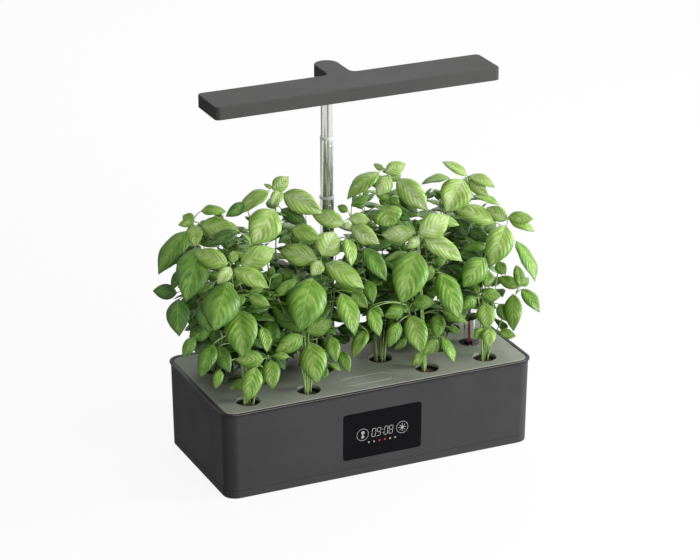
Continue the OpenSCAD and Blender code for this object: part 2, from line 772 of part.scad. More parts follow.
// a pointed leaf along +X on a short stalk, folded up a little along its midrib
module leaf(l) {
    half_w = 0.31 * l;
    half = concat([[0, 0], [0, 1], [leaf_stalk, 1]],
        [for (k = [1:4]) [leaf_stalk + l * k / 4, half_w * sin(180 * pow(k / 4, 0.8))]]);
    for (side = [0, 1]) mirror([0, side, 0]) rotate([leaf_fold, 0, 0]) linear_extrude(leaf_t) polygon(half);
}

// leaves round one point of a stem
module whorl(at, l, turns, droop) {
    for (turn = turns) translate(at) rotate([0, 0, turn]) rotate([0, droop, 0])
        translate([0, 0, -leaf_t / 2]) leaf(l);
}

// the point of a plant's stem at a height: the plants lean apart as they grow
function crown_top(i) = crop_z - crown_drop[floor(i / 4)][i % 4];
function stem_at(i, z) = let (share = (z - stems_join_z) / (crown_top(i) - stems_join_z))
    [(crown_spread - 1) * share * pods[i][0], (crown_spread - 1) * share * pods[i][1], z];

module basil(i) color("#5f9a2c") translate(pods[i]) {
    row = floor(i / 4) - 1;
    end = i % 4 == 0 ? -1 : i % 4 == 3 ? 1 : 0;
    top_z = crown_top(i);
    levels = floor((top_z - first_leaves_z - 20) / leaf_level);
    // three stems leave the pod and lean together
    for (a = [30:120:270]) strut([6 * cos(a), 6 * sin(a), sponge_top_z], stem_at(i, stems_join_z + 2), 2.8);
    strut(stem_at(i, stems_join_z), stem_at(i, top_z - 12), 3.2);
    for (k = [0:levels]) whorl(stem_at(i, first_leaves_z + k * leaf_level),
        max(16, longest_leaf - 2.2 * pow(k - 2.5, 2)),
        [for (q = [0:3]) 90 * q + 45 * k + 12 * i], 32 - 5 * k);
    whorl(stem_at(i, top_z - 14), 20, [for (q = [0:3]) 90 * q + 30 * i], -38);
    // the outer plants send side shoots past the base
    if (end != 0 && row != 0)
        side_shoot(i, end < 0 ? 232 : 196, [end * crop_reach_x - pods[i][0], 0], end < 0 ? 180 : 0);
    if (row != 0) side_shoot(i, 178, [0, row * crop_reach_y - pods[i][1]], row * 90);
}

// a side shoot that ends with its longest leaf's tip straight above the point named
module side_shoot(i, z, tip, turn) {
    l = 34;
    end = [tip[0] - (l + leaf_stalk) * cos(turn), tip[1] - (l + leaf_stalk) * sin(turn), z + 12];
    strut(stem_at(i, z), end, 2.4);
    whorl(end, l, [turn], 0);
    whorl(end, l - 8, [turn - 75, turn + 75], 20);
}

// ---- every piece, one if line each ----

base_pan();
rubber_feet();
base_screws();
outer_housing();
water_tank();
top_rim();
deck();
fill_lid();
lid_pin();
gauge_plug();
gauge_tube();
float_rod();
float_block();
pump_body();
pump_filter();
touch_glass();
display_board();
main_board();
dc_jack();
mast_socket();
lower_tube();
middle_tube();
upper_tube();
lower_collar();
upper_collar();
lower_button();
upper_button();
lower_spring();
upper_spring();
lamp_cover();
lamp_tray();
led_board();
led_chips();
lamp_screws();
neck_socket();
sponges();
for (i = [0:len(pods) - 1]) {
    basket(i);
    basil(i);
}
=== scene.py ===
import math
import random

import bmesh
import bpy
import numpy as np
from mathutils import Matrix, Vector, noise


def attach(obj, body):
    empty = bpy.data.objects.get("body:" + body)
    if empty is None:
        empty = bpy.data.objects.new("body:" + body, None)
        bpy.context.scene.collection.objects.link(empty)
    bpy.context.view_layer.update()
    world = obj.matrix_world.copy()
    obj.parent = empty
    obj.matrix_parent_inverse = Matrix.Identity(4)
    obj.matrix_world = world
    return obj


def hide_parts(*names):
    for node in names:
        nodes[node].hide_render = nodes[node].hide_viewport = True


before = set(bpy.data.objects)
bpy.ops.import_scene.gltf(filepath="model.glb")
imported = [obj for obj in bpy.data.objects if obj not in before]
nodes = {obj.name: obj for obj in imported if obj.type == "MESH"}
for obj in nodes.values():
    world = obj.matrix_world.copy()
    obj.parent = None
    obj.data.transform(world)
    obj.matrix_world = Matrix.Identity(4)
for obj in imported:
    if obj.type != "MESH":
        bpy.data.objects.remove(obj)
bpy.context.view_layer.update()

toMetres = 0.001          # new pieces are modelled in millimetres and scaled once, when finished


# camera

camera = {"place": (-1.32321, -2.89276, 1.50417), "azimuth": -24.585, "elevation": 22.095,
          "lens": 146.73, "sensor": 36.0}


def cameraAxes():
    # the camera's right, up and back directions
    azimuth, elevation = math.radians(camera["azimuth"]), math.radians(camera["elevation"])
    right = Vector((math.cos(azimuth), math.sin(azimuth), 0))
    back = Vector((math.sin(azimuth) * math.cos(elevation), -math.cos(azimuth) * math.cos(elevation),
                   math.sin(elevation)))
    return right, back.cross(right), back


def link(name, data):
    thing = bpy.data.objects.new(name, data)
    bpy.context.scene.collection.objects.link(thing)
    return thing


def aim(thing, place, direction):
    thing.location = place
    thing.rotation_euler = direction.to_track_quat("-Z", "Y").to_euler()


def addCamera():
    data = bpy.data.cameras.new("mainCamera")
    data.lens, data.sensor_width = camera["lens"], camera["sensor"]
    bpy.context.scene.camera = link("mainCamera", data)
    aim(bpy.context.scene.camera, camera["place"], -cameraAxes()[2])


addCamera()
print("camera set")


# materials

def linear(hexColour):
    # sRGB hex to the linear colour that sockets take
    values = [int(hexColour[i:i + 2], 16) / 255 for i in (1, 3, 5)]
    return tuple(v / 12.92 if v <= 0.04045 else ((v + 0.055) / 1.055) ** 2.4 for v in values) + (1.0,)


def plug(tree, node, inputs):
    # each input takes a number, a colour, a socket, or another node's first output
    for key, value in inputs.items():
        if isinstance(value, bpy.types.Node):
            value = value.outputs[0]
        if isinstance(value, bpy.types.NodeSocket):
            tree.links.new(value, node.inputs[key])
        else:
            node.inputs[key].default_value = value


def addNode(tree, kind, inputs={}, stops=(), **settings):
    # one node with its own settings, its inputs, and a colour ramp's stops
    node = tree.nodes.new("ShaderNode" + kind)
    for key, value in settings.items():
        setattr(node, key, value)
    plug(tree, node, inputs)
    ramp = node.color_ramp.elements if stops else ()
    while len(ramp) < len(stops):
        ramp.new(0.5)
    for element, (place, colour) in zip(ramp, stops):
        element.position, element.color = place, linear(colour)
    return node


def newMaterial(name, **sockets):
    material = bpy.data.materials.new(name)
    material.use_nodes = True
    shader = material.node_tree.nodes["Principled BSDF"]
    for key, value in sockets.items():
        shader.inputs[key.replace("_", " ")].default_value = value
    return material, material.node_tree, shader


def moulded(name, colour, shade, roughness, grain, depth, mottle, spread=0.06, level=0.5):
    # injection-moulded plastic: a fine spark-eroded grain, and a slow drift in colour and gloss
    material, tree, shader = newMaterial(name, Specular_IOR_Level=level)
    place = addNode(tree, "TexCoord").outputs["Object"]
    fine = addNode(tree, "TexNoise", {"Vector": place, "Scale": 1000 / grain, "Detail": 2.0})
    broad = addNode(tree, "TexNoise", {"Vector": place, "Scale": 1000 / mottle, "Detail": 5.0,
                                       "Roughness": 0.6})
    tint = addNode(tree, "ValToRGB", {"Fac": broad}, [(0.3, shade), (0.7, colour)])
    gloss = addNode(tree, "MapRange", {"Value": broad, "From Min": 0.3, "From Max": 0.7,
                                       "To Min": roughness - spread, "To Max": roughness + spread})
    bump = addNode(tree, "Bump", {"Height": fine, "Strength": 0.5, "Distance": depth * toMetres})
    plug(tree, shader, {"Base Color": tint, "Roughness": gloss, "Normal": bump})
    return material


# ABS, moulded with a satin spark-eroded skin: dark, with soft faint highlights on the corners
housingAbs = moulded("satinAbsHousing", "#535354", "#4d4d4e", 0.5, 0.9, 0.05, 60, level=0.02)
# the rim is blacker and softer to the touch than the housing
rimPlastic = moulded("softTouchRim", "#3f3f40", "#363637", 0.46, 0.7, 0.03, 40, level=0.08)
lampAbs = moulded("satinAbsLamp", "#5d5d5c", "#575757", 0.48, 0.9, 0.04, 70, level=0.02)
blackPolypropylene = moulded("mouldedPolypropyleneBlack", "#1d1d1e", "#161617", 0.45, 0.6, 0.03, 20,
                             level=0.3)
whiteAbs = moulded("mouldedAbsWhite", "#f6f6f3", "#ecece8", 0.30, 0.8, 0.01, 15)
tankPolypropylene = moulded("mouldedPolypropyleneNatural", "#d6d9d6", "#cbcfcb", 0.40, 1.2, 0.02, 40)
siliconeRubber = moulded("mouldedRubberFeet", "#1c1c1c", "#151515", 0.75, 0.5, 0.04, 10)
trayAbs = moulded("satinAbsTray", "#dcdcd8", "#d2d2ce", 0.40, 0.8, 0.02, 30)
circuitBoard = moulded("solderMaskFr4Green", "#1e5c38", "#17492c", 0.35, 0.5, 0.03, 6)
ledBoardAluminium = moulded("solderMaskAluminiumWhite", "#eceee9", "#e2e4de", 0.35, 0.6, 0.01, 12)
filterFoam = moulded("openCellFoamFilter", "#46545a", "#262f33", 0.9, 1.6, 0.7, 2.0)
floatFoam = moulded("closedCellFoamFloat", "#f0efe9", "#e1e0d8", 0.6, 0.8, 0.1, 8)


def speckledDeck():
    # polypropylene filled with mineral: sage grey, cloudy, with dark specks
    material, tree, shader = newMaterial("mineralFilledPolypropyleneSage", Roughness=0.5,
                                         Specular_IOR_Level=0.05)
    place = addNode(tree, "TexCoord").outputs["Object"]
    cloud = addNode(tree, "TexNoise", {"Vector": place, "Scale": 1000 / 55, "Detail": 6.0, "Roughness": 0.62})
    base = addNode(tree, "ValToRGB", {"Fac": cloud}, [(0.3, "#8a9283"), (0.5, "#969c8e"), (0.72, "#a4a59c")])
    cells = addNode(tree, "TexVoronoi", {"Vector": place, "Scale": 1000 / 5.5, "Randomness": 1.0})
    dots = addNode(tree, "ValToRGB", {"Fac": cells}, [(0.05, "#ffffff"), (0.12, "#000000")])
    lot = addNode(tree, "SeparateColor", {"Color": cells.outputs["Color"]})
    some = addNode(tree, "Math", {0: lot, 1: 0.72}, operation="GREATER_THAN")
    amount = addNode(tree, "Math", {0: dots, 1: some}, operation="MULTIPLY")
    fade = addNode(tree, "Math", {0: amount, 1: 0.35}, operation="MULTIPLY")
    speck = addNode(tree, "Mix", {0: fade, 6: base, 7: linear("#3f423c")}, data_type="RGBA")
    fine = addNode(tree, "TexNoise", {"Vector": place, "Scale": 1000 / 0.8, "Detail": 2.0})
    bump = addNode(tree, "Bump", {"Height": fine, "Strength": 0.4, "Distance": 0.04 * toMetres})
    plug(tree, shader, {"Base Color": speck.outputs[2], "Normal": bump})
    return material


def polishedSteel(name, colour, roughness, streak):
    # steel, drawn and buffed: mirror bright with faint lines along its length
    material, tree, shader = newMaterial(name, Metallic=1.0, Base_Color=linear(colour))
    place = addNode(tree, "TexCoord").outputs["Object"]
    across = 1000 / streak
    drawn = addNode(tree, "Mapping", {"Vector": place, "Scale": (across, across, across / 60)})
    lines = addNode(tree, "TexNoise", {"Vector": drawn, "Scale": 1.0, "Detail": 3.0})
    gloss = addNode(tree, "MapRange", {"Value": lines, "From Min": 0.3, "From Max": 0.7,
                                       "To Min": roughness * 0.85, "To Max": roughness * 1.2})
    plug(tree, shader, {"Roughness": gloss})
    return material


deckMineral = speckledDeck()
# the rounded edges of the deck and the lid are painted paler: a painted highlight
cutEdge = moulded("paintedHighlightDeckEdge", "#babbb0", "#aeafa4", 0.5, 0.8, 0.02, 20, level=0.05)
# the rim's outer top edge is painted paler: a painted highlight along its rounded edge
rimEdgeHighlight = moulded("paintedHighlightRimEdge", "#8b8a81", "#7d7c74", 0.4, 0.7, 0.02, 20, level=0.1)
mastSteel = polishedSteel("buffedStainlessTube", "#dcddd9", 0.2, 1.6)
zincSteel = polishedSteel("zincPlatedSteelScrews", "#a9aaa6", 0.28, 0.5)
buttonSteel = polishedSteel("polishedSteelButtons", "#e6e6e4", 0.12, 0.8)

# toughened glass, coated against glare and back printed black: a faint mirror over near-black
panelGlass = moulded("coatedGlassBackPrintedBlack", "#121215", "#0f0f12", 0.12, 4.0, 0.0, 90, 0.02, 0.06)
# blown acrylic tube: clear, thin walled
clearAcrylic = newMaterial("blownAcrylicClear", Base_Color=linear("#f4f8f6"), Roughness=0.04, IOR=1.49,
                           Transmission_Weight=1.0)[0]
# extruded acrylic rod dyed through: wet-looking red
redAcrylic = moulded("extrudedAcrylicRed", "#c31432", "#a80f2a", 0.18, 3.0, 0.0, 12, 0.03)
# peat plug: crumbly dark brown fibres
peatFibre = moulded("pressedPeatFibre", "#6a5a49", "#251c14", 0.92, 1.1, 0.9, 1.6, 0.03)
# the display's segments, as they show through the glass
markWhite = newMaterial("litSegmentsWhite", Base_Color=linear("#b9b9b7"), Roughness=0.5)[0]
markRed = newMaterial("litSegmentsRed", Base_Color=linear("#c8403c"), Roughness=0.5)[0]


def leafSkin(name, stops, vein, puff, roughness, specular, sheen, sunken=1.0):
    # a leaf's lightness, which is partly its own colour and partly painted light and shade, streaks, and
    # veins that sweep to the tip, with the blade puffed up between them.
    # the leaf map's X counts the swept side veins, and its Y runs from -1 to 1 across the midrib
    material, tree, shader = newMaterial(name, Roughness=roughness, Specular_IOR_Level=specular,
                                         Sheen_Weight=sheen, Sheen_Roughness=0.35,
                                         Sheen_Tint=linear("#eef6e6"))
    place = addNode(tree, "TexCoord").outputs["Object"]
    leafMap = addNode(tree, "UVMap", uv_map="leafMap")
    pattern = addNode(tree, "SeparateXYZ", {"Vector": leafMap}).outputs
    tones = addNode(tree, "Attribute", attribute_name="leafToneAndShade")
    own = addNode(tree, "SeparateColor", {"Color": tones}).outputs
    offMiddle = addNode(tree, "Math", {0: pattern["Y"]}, operation="ABSOLUTE")
    between = addNode(tree, "Math", {0: pattern["X"], 1: 0.5}, operation="PINGPONG")   # 0 on a side vein
    rib = addNode(tree, "MapRange", {"Value": offMiddle, "From Min": 0.01, "From Max": 0.06,
                                     "To Min": 1.0, "To Max": 0.0})
    veins = addNode(tree, "MapRange", {"Value": between, "From Max": 0.10, "To Min": 0.55, "To Max": 0.0})
    lines = addNode(tree, "Math", {0: rib, 1: veins}, operation="MAXIMUM")
    lot = addNode(tree, "Math", {0: own["Green"], 1: 40.0}, operation="MULTIPLY")
    along = addNode(tree, "CombineXYZ", {"X": pattern["X"], "Y": pattern["Y"], "Z": lot})
    streak = addNode(tree, "TexNoise", {"Vector": along, "Scale": 1.3, "Detail": 5.0, "Roughness": 0.6})
    blotch = addNode(tree, "TexNoise", {"Vector": place, "Scale": 1000 / 11, "Detail": 2.0})
    # the leaf's lightness carries painted light and shade as well as its own colour
    tone = own["Red"]
    for source, weight in ((streak, 1.0), (blotch, 0.4), (offMiddle, -0.22)):
        tone = addNode(tree, "Math", {0: source, 1: weight, 2: tone}, operation="MULTIPLY_ADD")
    share = addNode(tree, "MapRange", {"Value": tone, "From Min": 0.66, "From Max": 1.74})
    ramp = addNode(tree, "ValToRGB", {"Fac": share}, stops)
    paint = addNode(tree, "Math", {0: lines, 1: 0.35}, operation="MULTIPLY")
    skin = addNode(tree, "Mix", {0: paint, 6: ramp, 7: linear(vein)}, data_type="RGBA")
    swell = addNode(tree, "MapRange", {"Value": between, "From Max": 0.42, "To Max": sunken},
                    interpolation_type="SMOOTHSTEP")
    sunk = addNode(tree, "Math", {0: rib, 1: -0.8 * sunken, 2: swell}, operation="MULTIPLY_ADD")
    cells = addNode(tree, "TexNoise", {"Vector": place, "Scale": 1000 / 1.6, "Detail": 2.0})
    height = addNode(tree, "Math", {0: cells, 1: 0.3, 2: sunk}, operation="MULTIPLY_ADD")
    bump = addNode(tree, "Bump", {"Height": height, "Strength": 0.7, "Distance": puff * toMetres})
    plug(tree, shader, {"Base Color": skin.outputs[2], "Normal": bump})
    return material


# fresh basil: waxy and quilted on top, paler and matt below with raised veins
# the ramp's darkest and palest greens carry painted shade and painted light as well as the leaves' own colour
leafUpper = leafSkin("waxyBasilLeafUpper",
                     [(0.0, "#163803"), (0.25, "#3a6b0a"), (0.5, "#6c9d2b"), (0.75, "#a0c45c"),
                      (1.0, "#d3e7ac")], "#aecb78", 0.4, 0.42, 0.5, 0.3)
leafUnder = leafSkin("mattBasilLeafUnder", [(0.0, "#36541a"), (0.5, "#76983f"), (1.0, "#aecb7c")],
                     "#bcd490", 0.3, 0.6, 0.15, 0.2, -1.0)
# soft green stems, mottled paler
stemSkin = moulded("ribbedBasilStem", "#b3cc86", "#8aae58", 0.45, 1.2, 0.10, 9)
print("materials made")


# modelling helpers

def selectOnly(*pieces):
    if bpy.context.object and bpy.context.object.mode != "OBJECT":
        leaveEdit()
    bpy.ops.object.select_all(action="DESELECT")
    for piece in pieces:
        piece.select_set(True)
    bpy.context.view_layer.objects.active = pieces[-1] if pieces else None


def edit(piece):
    selectOnly(piece)
    bpy.ops.object.mode_set(mode="EDIT")


def leaveEdit():
    bpy.ops.object.mode_set(mode="OBJECT")


def pick(kind, wanted):
    # selects the verts, edges or faces for which wanted is true
    bpy.ops.mesh.select_mode(type=kind)
    bpy.ops.mesh.select_all(action="DESELECT")
    mesh = bmesh.from_edit_mesh(bpy.context.edit_object.data)
    for item in {"VERT": mesh.verts, "EDGE": mesh.edges, "FACE": mesh.faces}[kind]:
        if wanted(item):
            item.select_set(True)
    mesh.select_flush_mode()
    bmesh.update_edit_mesh(bpy.context.edit_object.data)


def pickAll():
    bpy.ops.mesh.select_all(action="SELECT")


def extrude(x, y, z):
    bpy.ops.mesh.extrude_region_move(TRANSFORM_OT_translate={"value": (x, y, z)})


def mergeAndFaceOut(closer):
    pickAll()
    bpy.ops.mesh.remove_doubles(threshold=closer)
    bpy.ops.mesh.normals_make_consistent(inside=False)


def atHeight(edge, height, slack=0.01):
    return all(abs(v.co.z - height) < slack for v in edge.verts)


def isUpright(edge):
    return abs((edge.verts[0].co - edge.verts[1].co).normalized().z) > 0.9


def isSharp(edge, least=0.6):
    return edge.is_manifold and edge.calc_face_angle(0) > least


def settle(name, scale=(1, 1, 1)):
    # names the active piece, scales it and applies its place
    piece = bpy.context.object
    piece.name, piece.scale = name, scale
    bpy.ops.object.transform_apply(location=True, rotation=True, scale=True)
    return piece


def addBlock(name, size, centre, corner=0, segments=12):
    # a cube with its upright corners rounded
    selectOnly()
    bpy.ops.mesh.primitive_cube_add(size=1, location=centre)
    block = settle(name, size)
    if corner:
        edit(block)
        pick("EDGE", isUpright)
        bpy.ops.mesh.bevel(offset=corner, segments=segments)
        leaveEdit()
    return block


def softenAt(piece, height, offset, segments=3, wanted=lambda edge: True):
    # bevels the sharp edges at one height
    edit(piece)
    pick("EDGE", lambda edge: atHeight(edge, height) and isSharp(edge) and wanted(edge))
    bpy.ops.mesh.bevel(offset=offset, segments=segments)
    leaveEdit()


def addRod(name, radius, bottom, top, at=(0, 0), sides=64):
    selectOnly()
    bpy.ops.mesh.primitive_cylinder_add(vertices=sides, radius=radius, depth=top - bottom,
                                        location=(*at, (bottom + top) / 2))
    return settle(name)


def addTurned(name, profile, at=(0, 0), sides=64):
    # a closed profile of (radius, height) points, drawn point by point and spun about the upright axis
    selectOnly()
    bpy.ops.mesh.primitive_plane_add(size=1, location=(0, 0, 0))
    turned = settle(name)
    edit(turned)
    bpy.ops.mesh.select_mode(type="VERT")
    pickAll()
    bpy.ops.mesh.merge(type="CENTER")
    bpy.ops.transform.translate(value=(profile[0][0], 0, profile[0][1]))
    for (r0, z0), (r1, z1) in zip(profile, profile[1:] + profile[:1]):
        bpy.ops.mesh.extrude_vertices_move(TRANSFORM_OT_translate={"value": (r1 - r0, 0, z1 - z0)})
    pickAll()
    bpy.ops.mesh.spin(steps=sides, angle=math.tau, center=(0, 0, 0), axis=(0, 0, 1))
    mergeAndFaceOut(0.001)
    bpy.ops.transform.translate(value=(*at, 0))
    leaveEdit()
    return turned


def join(name, *pieces):
    selectOnly(*pieces)
    bpy.ops.object.join()
    bpy.context.object.name = name
    return bpy.context.object


def carve(piece, *cutters):
    cutter = join("cutter", *cutters) if len(cutters) > 1 else cutters[0]
    selectOnly(piece)
    modifier = piece.modifiers.new("carve", "BOOLEAN")
    modifier.operation, modifier.object, modifier.solver = "DIFFERENCE", cutter, "EXACT"
    bpy.ops.object.modifier_apply(modifier="carve")
    bpy.data.objects.remove(cutter)


def copyTo(piece, x, y):
    twin = link(piece.name, piece.data.copy())
    twin.data.transform(Matrix.Translation((x, y, 0)))
    return twin


def layAt(piece, x, y, z, tilt=0):
    # turns a piece that is drawn upright at the origin to face the front, and moves it
    piece.data.transform(Matrix.Translation((x, y, z)) @ Matrix.Rotation(math.pi / 2 + tilt, 4, "X"))
    return piece


def dress(piece, *materials):
    piece.data.materials.clear()
    for material in materials:
        piece.data.materials.append(material)


def handOver(piece, body, replaced):
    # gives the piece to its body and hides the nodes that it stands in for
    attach(piece, body)
    if replaced:
        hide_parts(*replaced)
    print("made", piece.name)


def finishPiece(piece, name, body, materials, replaced=(), smooth=38, weighted=True):
    # scales to metres, smooths, dresses and hands over
    selectOnly(piece)
    settle(name)
    piece.data.transform(Matrix.Scale(toMetres, 4))
    piece.data.name = name
    bpy.ops.object.shade_smooth_by_angle(angle=math.radians(smooth))
    if weighted:
        piece.modifiers.new("facesStayFlat", "WEIGHTED_NORMAL").keep_sharp = True
        bpy.ops.object.modifier_apply(modifier="facesStayFlat")
    dress(piece, *materials)
    handOver(piece, body, replaced)
    return piece


def paintEdgeHighlight(piece, low, wanted):
    # the sloping faces of a rounded edge take the piece's second material, a paler colour painted on as the
    # edge's highlight
    for face in piece.data.polygons:
        x, y, z = face.center / toMetres
        if z > low and 0.1 < face.normal.z < 0.98 and wanted(x, y):
            face.material_index = 1


# base

base = {"length": 403, "depth": 189, "corner": 16, "top": 107.7, "lean": 1.3, "leanFrom": 104.7, "wall": 2.6,
        "seam": 10, "seamTop": 10.4, "seamInset": 0.8, "underside": 0.4, "panEdge": 0.7, "panFloor": 3.4,
        "panWall": 4.5,
        # radius, depth and sides of the screws' and the feet's holes, and where they are
        "holes": ((3.1, 3.2, 32, [(x, y) for x in (-194.5, 194.5) for y in (-40, 40)]
                   + [(x, y) for x in (-70, 70) for y in (-87, 87)]),
                  (8.1, 1.8, 48, [(x, y) for x in (-165, 165) for y in (-66, 66)]))}
panel = {"width": 103, "height": 60, "corner": 4, "centre": 52.1, "thickness": 1.6, "proud": 0.2, "edge": 0.3,
         "slack": 0.3, "window": (89, 48)}
jack = {"x": 150, "height": 17.5, "hole": 8.2}
# a flat bead that overhangs the wall, with a skirt inside the wall and a ledge that carries the deck
rim = {"out": 1.8, "top": 110.1, "roll": 0.7, "underRoll": 0.4, "lip": 2.8, "skirt": 1.3, "skirtHeight": 1.5,
       "ledge": 8.6, "ledgeOut": 2.75, "ledgeBottom": 104.7}


def addSlab(name, inset, bottom, top, segments=16):
    # a slab on the base's outline, drawn in evenly all round
    return addBlock(name, (base["length"] - 2 * inset, base["depth"] - 2 * inset, top - bottom),
                    (0, 0, (bottom + top) / 2), base["corner"] - inset, segments)


def leanAt(height):
    return base["lean"] * (base["leanFrom"] - height) / base["leanFrom"]


def leanIn(piece, *heights):
    # narrows what is at each height by the walls' lean
    edit(piece)
    for height in heights:
        pick("VERT", lambda vert: abs(vert.co.z - height) < 0.01)
        inset = leanAt(height)
        bpy.ops.transform.resize(value=(1 - 2 * inset / base["length"], 1 - 2 * inset / base["depth"], 1),
                                 center_override=(0, 0, height))
    leaveEdit()


def toFront(piece, height):
    # lays a piece drawn flat at the origin onto the leaning front face
    lean = math.atan(base["lean"] / base["leanFrom"])
    return layAt(piece, 0, leanAt(height) - base["depth"] / 2, height, lean)


def makeHousing():
    top = base["top"]
    shell = addSlab("housing", 0, base["seamTop"], top)
    leanIn(shell, base["seamTop"], top)
    edit(shell)
    pick("FACE", lambda face: abs(face.normal.z) > 0.9)
    bpy.ops.mesh.delete(type="ONLY_FACE")
    leaveEdit()
    wall = shell.modifiers.new("wall", "SOLIDIFY")
    wall.thickness, wall.offset, wall.use_even_offset = base["wall"], -1, True
    bpy.ops.object.modifier_apply(modifier="wall")
    softenAt(shell, base["seamTop"], 0.35, 2)
    # the rim's skirt stands in a step round the wall's top edge
    carve(shell, addSlab("step", rim["skirt"] - 0.1, top - rim["skirtHeight"] - 0.1, top + 2))
    slack = panel["slack"]
    seat = addBlock("seat", (panel["width"] + slack, panel["height"] + slack, 4),
                    (0, 0, 2 - panel["thickness"]), panel["corner"], 8)
    window = addBlock("window", (*panel["window"], 12), (0, 0, -4), 2, 4)
    for opening in (seat, window):
        carve(shell, toFront(opening, panel["centre"]))
    drill = addRod("jackHole", jack["hole"] / 2, -8, 8)
    carve(shell, layAt(drill, jack["x"], base["depth"] / 2, jack["height"]))
    finishPiece(shell, "housingShell", "root", [housingAbs], ["outer_housing"])


def makePan():
    pan = addSlab("pan", 0, base["underside"], base["seam"])
    leanIn(pan, base["underside"], base["seam"])
    softenAt(pan, base["underside"], base["panEdge"], 4)
    softenAt(pan, base["seam"], 0.3, 2)
    edit(pan)
    pick("FACE", lambda face: face.normal.z > 0.95 and face.calc_area() > 1000)
    for inset, rise in ((base["seamInset"], base["seamTop"] - base["seam"]),
                        (base["panWall"], base["panFloor"] - base["seamTop"])):
        bpy.ops.mesh.inset(thickness=inset, depth=0)
        extrude(0, 0, rise)
    leaveEdit()
    cutters = [addRod("hole", radius, -2, depth, place, sides)
               for radius, depth, sides, places in base["holes"] for place in places]
    carve(pan, *cutters)
    finishPiece(pan, "bottomPan", "root", [housingAbs], ["base_pan"])


def makeRim():
    low, top = base["top"], rim["top"]
    bead = addSlab("bead", -rim["out"], low, top, 20)
    carve(bead, addSlab("opening", rim["lip"], low - 2, top + 2, 20))
    softenAt(bead, top, rim["roll"], 4)
    softenAt(bead, low, rim["underRoll"], 2)
    skirt = addSlab("skirt", rim["skirt"], low - rim["skirtHeight"], low)
    carve(skirt, addSlab("opening", rim["ledgeOut"], low - 5, low + 2))
    ledge = addSlab("ledge", rim["ledgeOut"], rim["ledgeBottom"], low)
    carve(ledge, addSlab("opening", rim["ledge"], rim["ledgeBottom"] - 2, low + 2))
    whole = join("rim", skirt, ledge, bead)
    finishPiece(whole, "deckRim", "root", [rimPlastic, rimEdgeHighlight], ["top_rim"])
    # its outer top roll takes the painted highlight
    paintEdgeHighlight(whole, top - rim["roll"] * 0.8,
             lambda x, y: abs(x) > base["length"] / 2 or abs(y) > base["depth"] / 2)


# deck, pods and lid

pods = {"pitch": 78, "rowPitch": 49.7, "middle": -14.3, "shift": -5, "hole": 29, "ledge": 105.1, "bore": 25.6,
        "bottom": 101.1, "wall": 1.8}
podPlaces = [(pods["shift"] + step * pods["pitch"], pods["middle"] + row * pods["rowPitch"])
             for row, steps in ((-1, (-2, -1, 1, 2)), (0, (-1.5, -0.5, 0.5, 1.5)), (1, (-2, -1, 1, 2)))
             for step in steps]
podNames = ["%02d" % (i + 1) for i in range(len(podPlaces))]
gauge = {"x": 154.7, "y": -15.3, "plug": 25.6, "slack": 0.2, "bore": 22.4, "tubeTop": 162.1}
lid = {"x": -7, "y": -65.0, "length": 64, "width": 21, "gap": 0.45, "thickness": 2.4, "edge": 0.35,
       "pinX": -27, "pinHeight": 107.8, "chuteWall": 1.6, "chuteDepth": 9.6}
deck = {"inset": 3.3, "top": 110.1, "under": 107.7, "edge": 1.2, "holeEdge": 0.45, "cut": 0.9}
mast = {"y": 66.5, "neck": 23.0}


def addWell(name, seat, bore, at=(0, 0)):
    # a short tube under the deck with a ledge inside it
    high, low, ledge, outer = deck["under"] + 0.4, pods["bottom"], pods["ledge"], seat + pods["wall"]
    return addTurned(name, [(seat, high), (seat, ledge), (bore, ledge), (bore, low), (outer, low),
                            (outer, high)], at)


def addLidSlab(name, wider, height, centre):
    # a slab with the lid's round ends, wider all round
    return addBlock(name, (lid["length"] + 2 * wider, lid["width"] + 2 * wider, height),
                    (lid["x"], lid["y"], centre), lid["width"] / 2 + wider - 0.01, 20)


def makeDeck():
    top, under = deck["top"], deck["under"]
    plate = addSlab("deck", deck["inset"], under, top)
    softenAt(plate, top, deck["edge"], 4)
    gaugeSeat = gauge["plug"] / 2 + gauge["slack"]
    holes = [(pods["hole"] / 2, place) for place in podPlaces]
    holes += [(gaugeSeat, (gauge["x"], gauge["y"])), (mast["neck"] / 2, (0, mast["y"]))]
    cutters = [addRod("hole", radius, under - 5, top + 3, place, 72) for radius, place in holes]
    carve(plate, *cutters, addLidSlab("lidHole", lid["gap"], 12, under))
    softenAt(plate, top, deck["holeEdge"], 3,
             lambda edge: all(abs(v.co.x) < 190 and abs(v.co.y) < 86 for v in edge.verts))
    well = addWell("well", pods["hole"] / 2, pods["bore"] / 2)
    wells = [copyTo(well, x, y) for x, y in podPlaces]
    bpy.data.objects.remove(well)
    wells.append(addWell("gaugeWell", gaugeSeat, gauge["bore"] / 2, (gauge["x"], gauge["y"])))
    middle = under - lid["chuteDepth"] / 2
    chute = addLidSlab("chute", lid["gap"] + lid["chuteWall"], lid["chuteDepth"], middle)
    carve(chute, addLidSlab("hollow", lid["gap"], 14, middle))
    whole = join("deck", *wells, chute, plate)
    finishPiece(whole, "gardenDeck", "root", [deckMineral, cutEdge], ["deck"])
    # the outer edge and the lid hole's edge take the painted highlight
    paintEdgeHighlight(whole, top - deck["cut"],
             lambda x, y: abs(x) > 185 or abs(y) > 85 or (abs(y - lid["y"]) < 12 and -41 < x < 27))


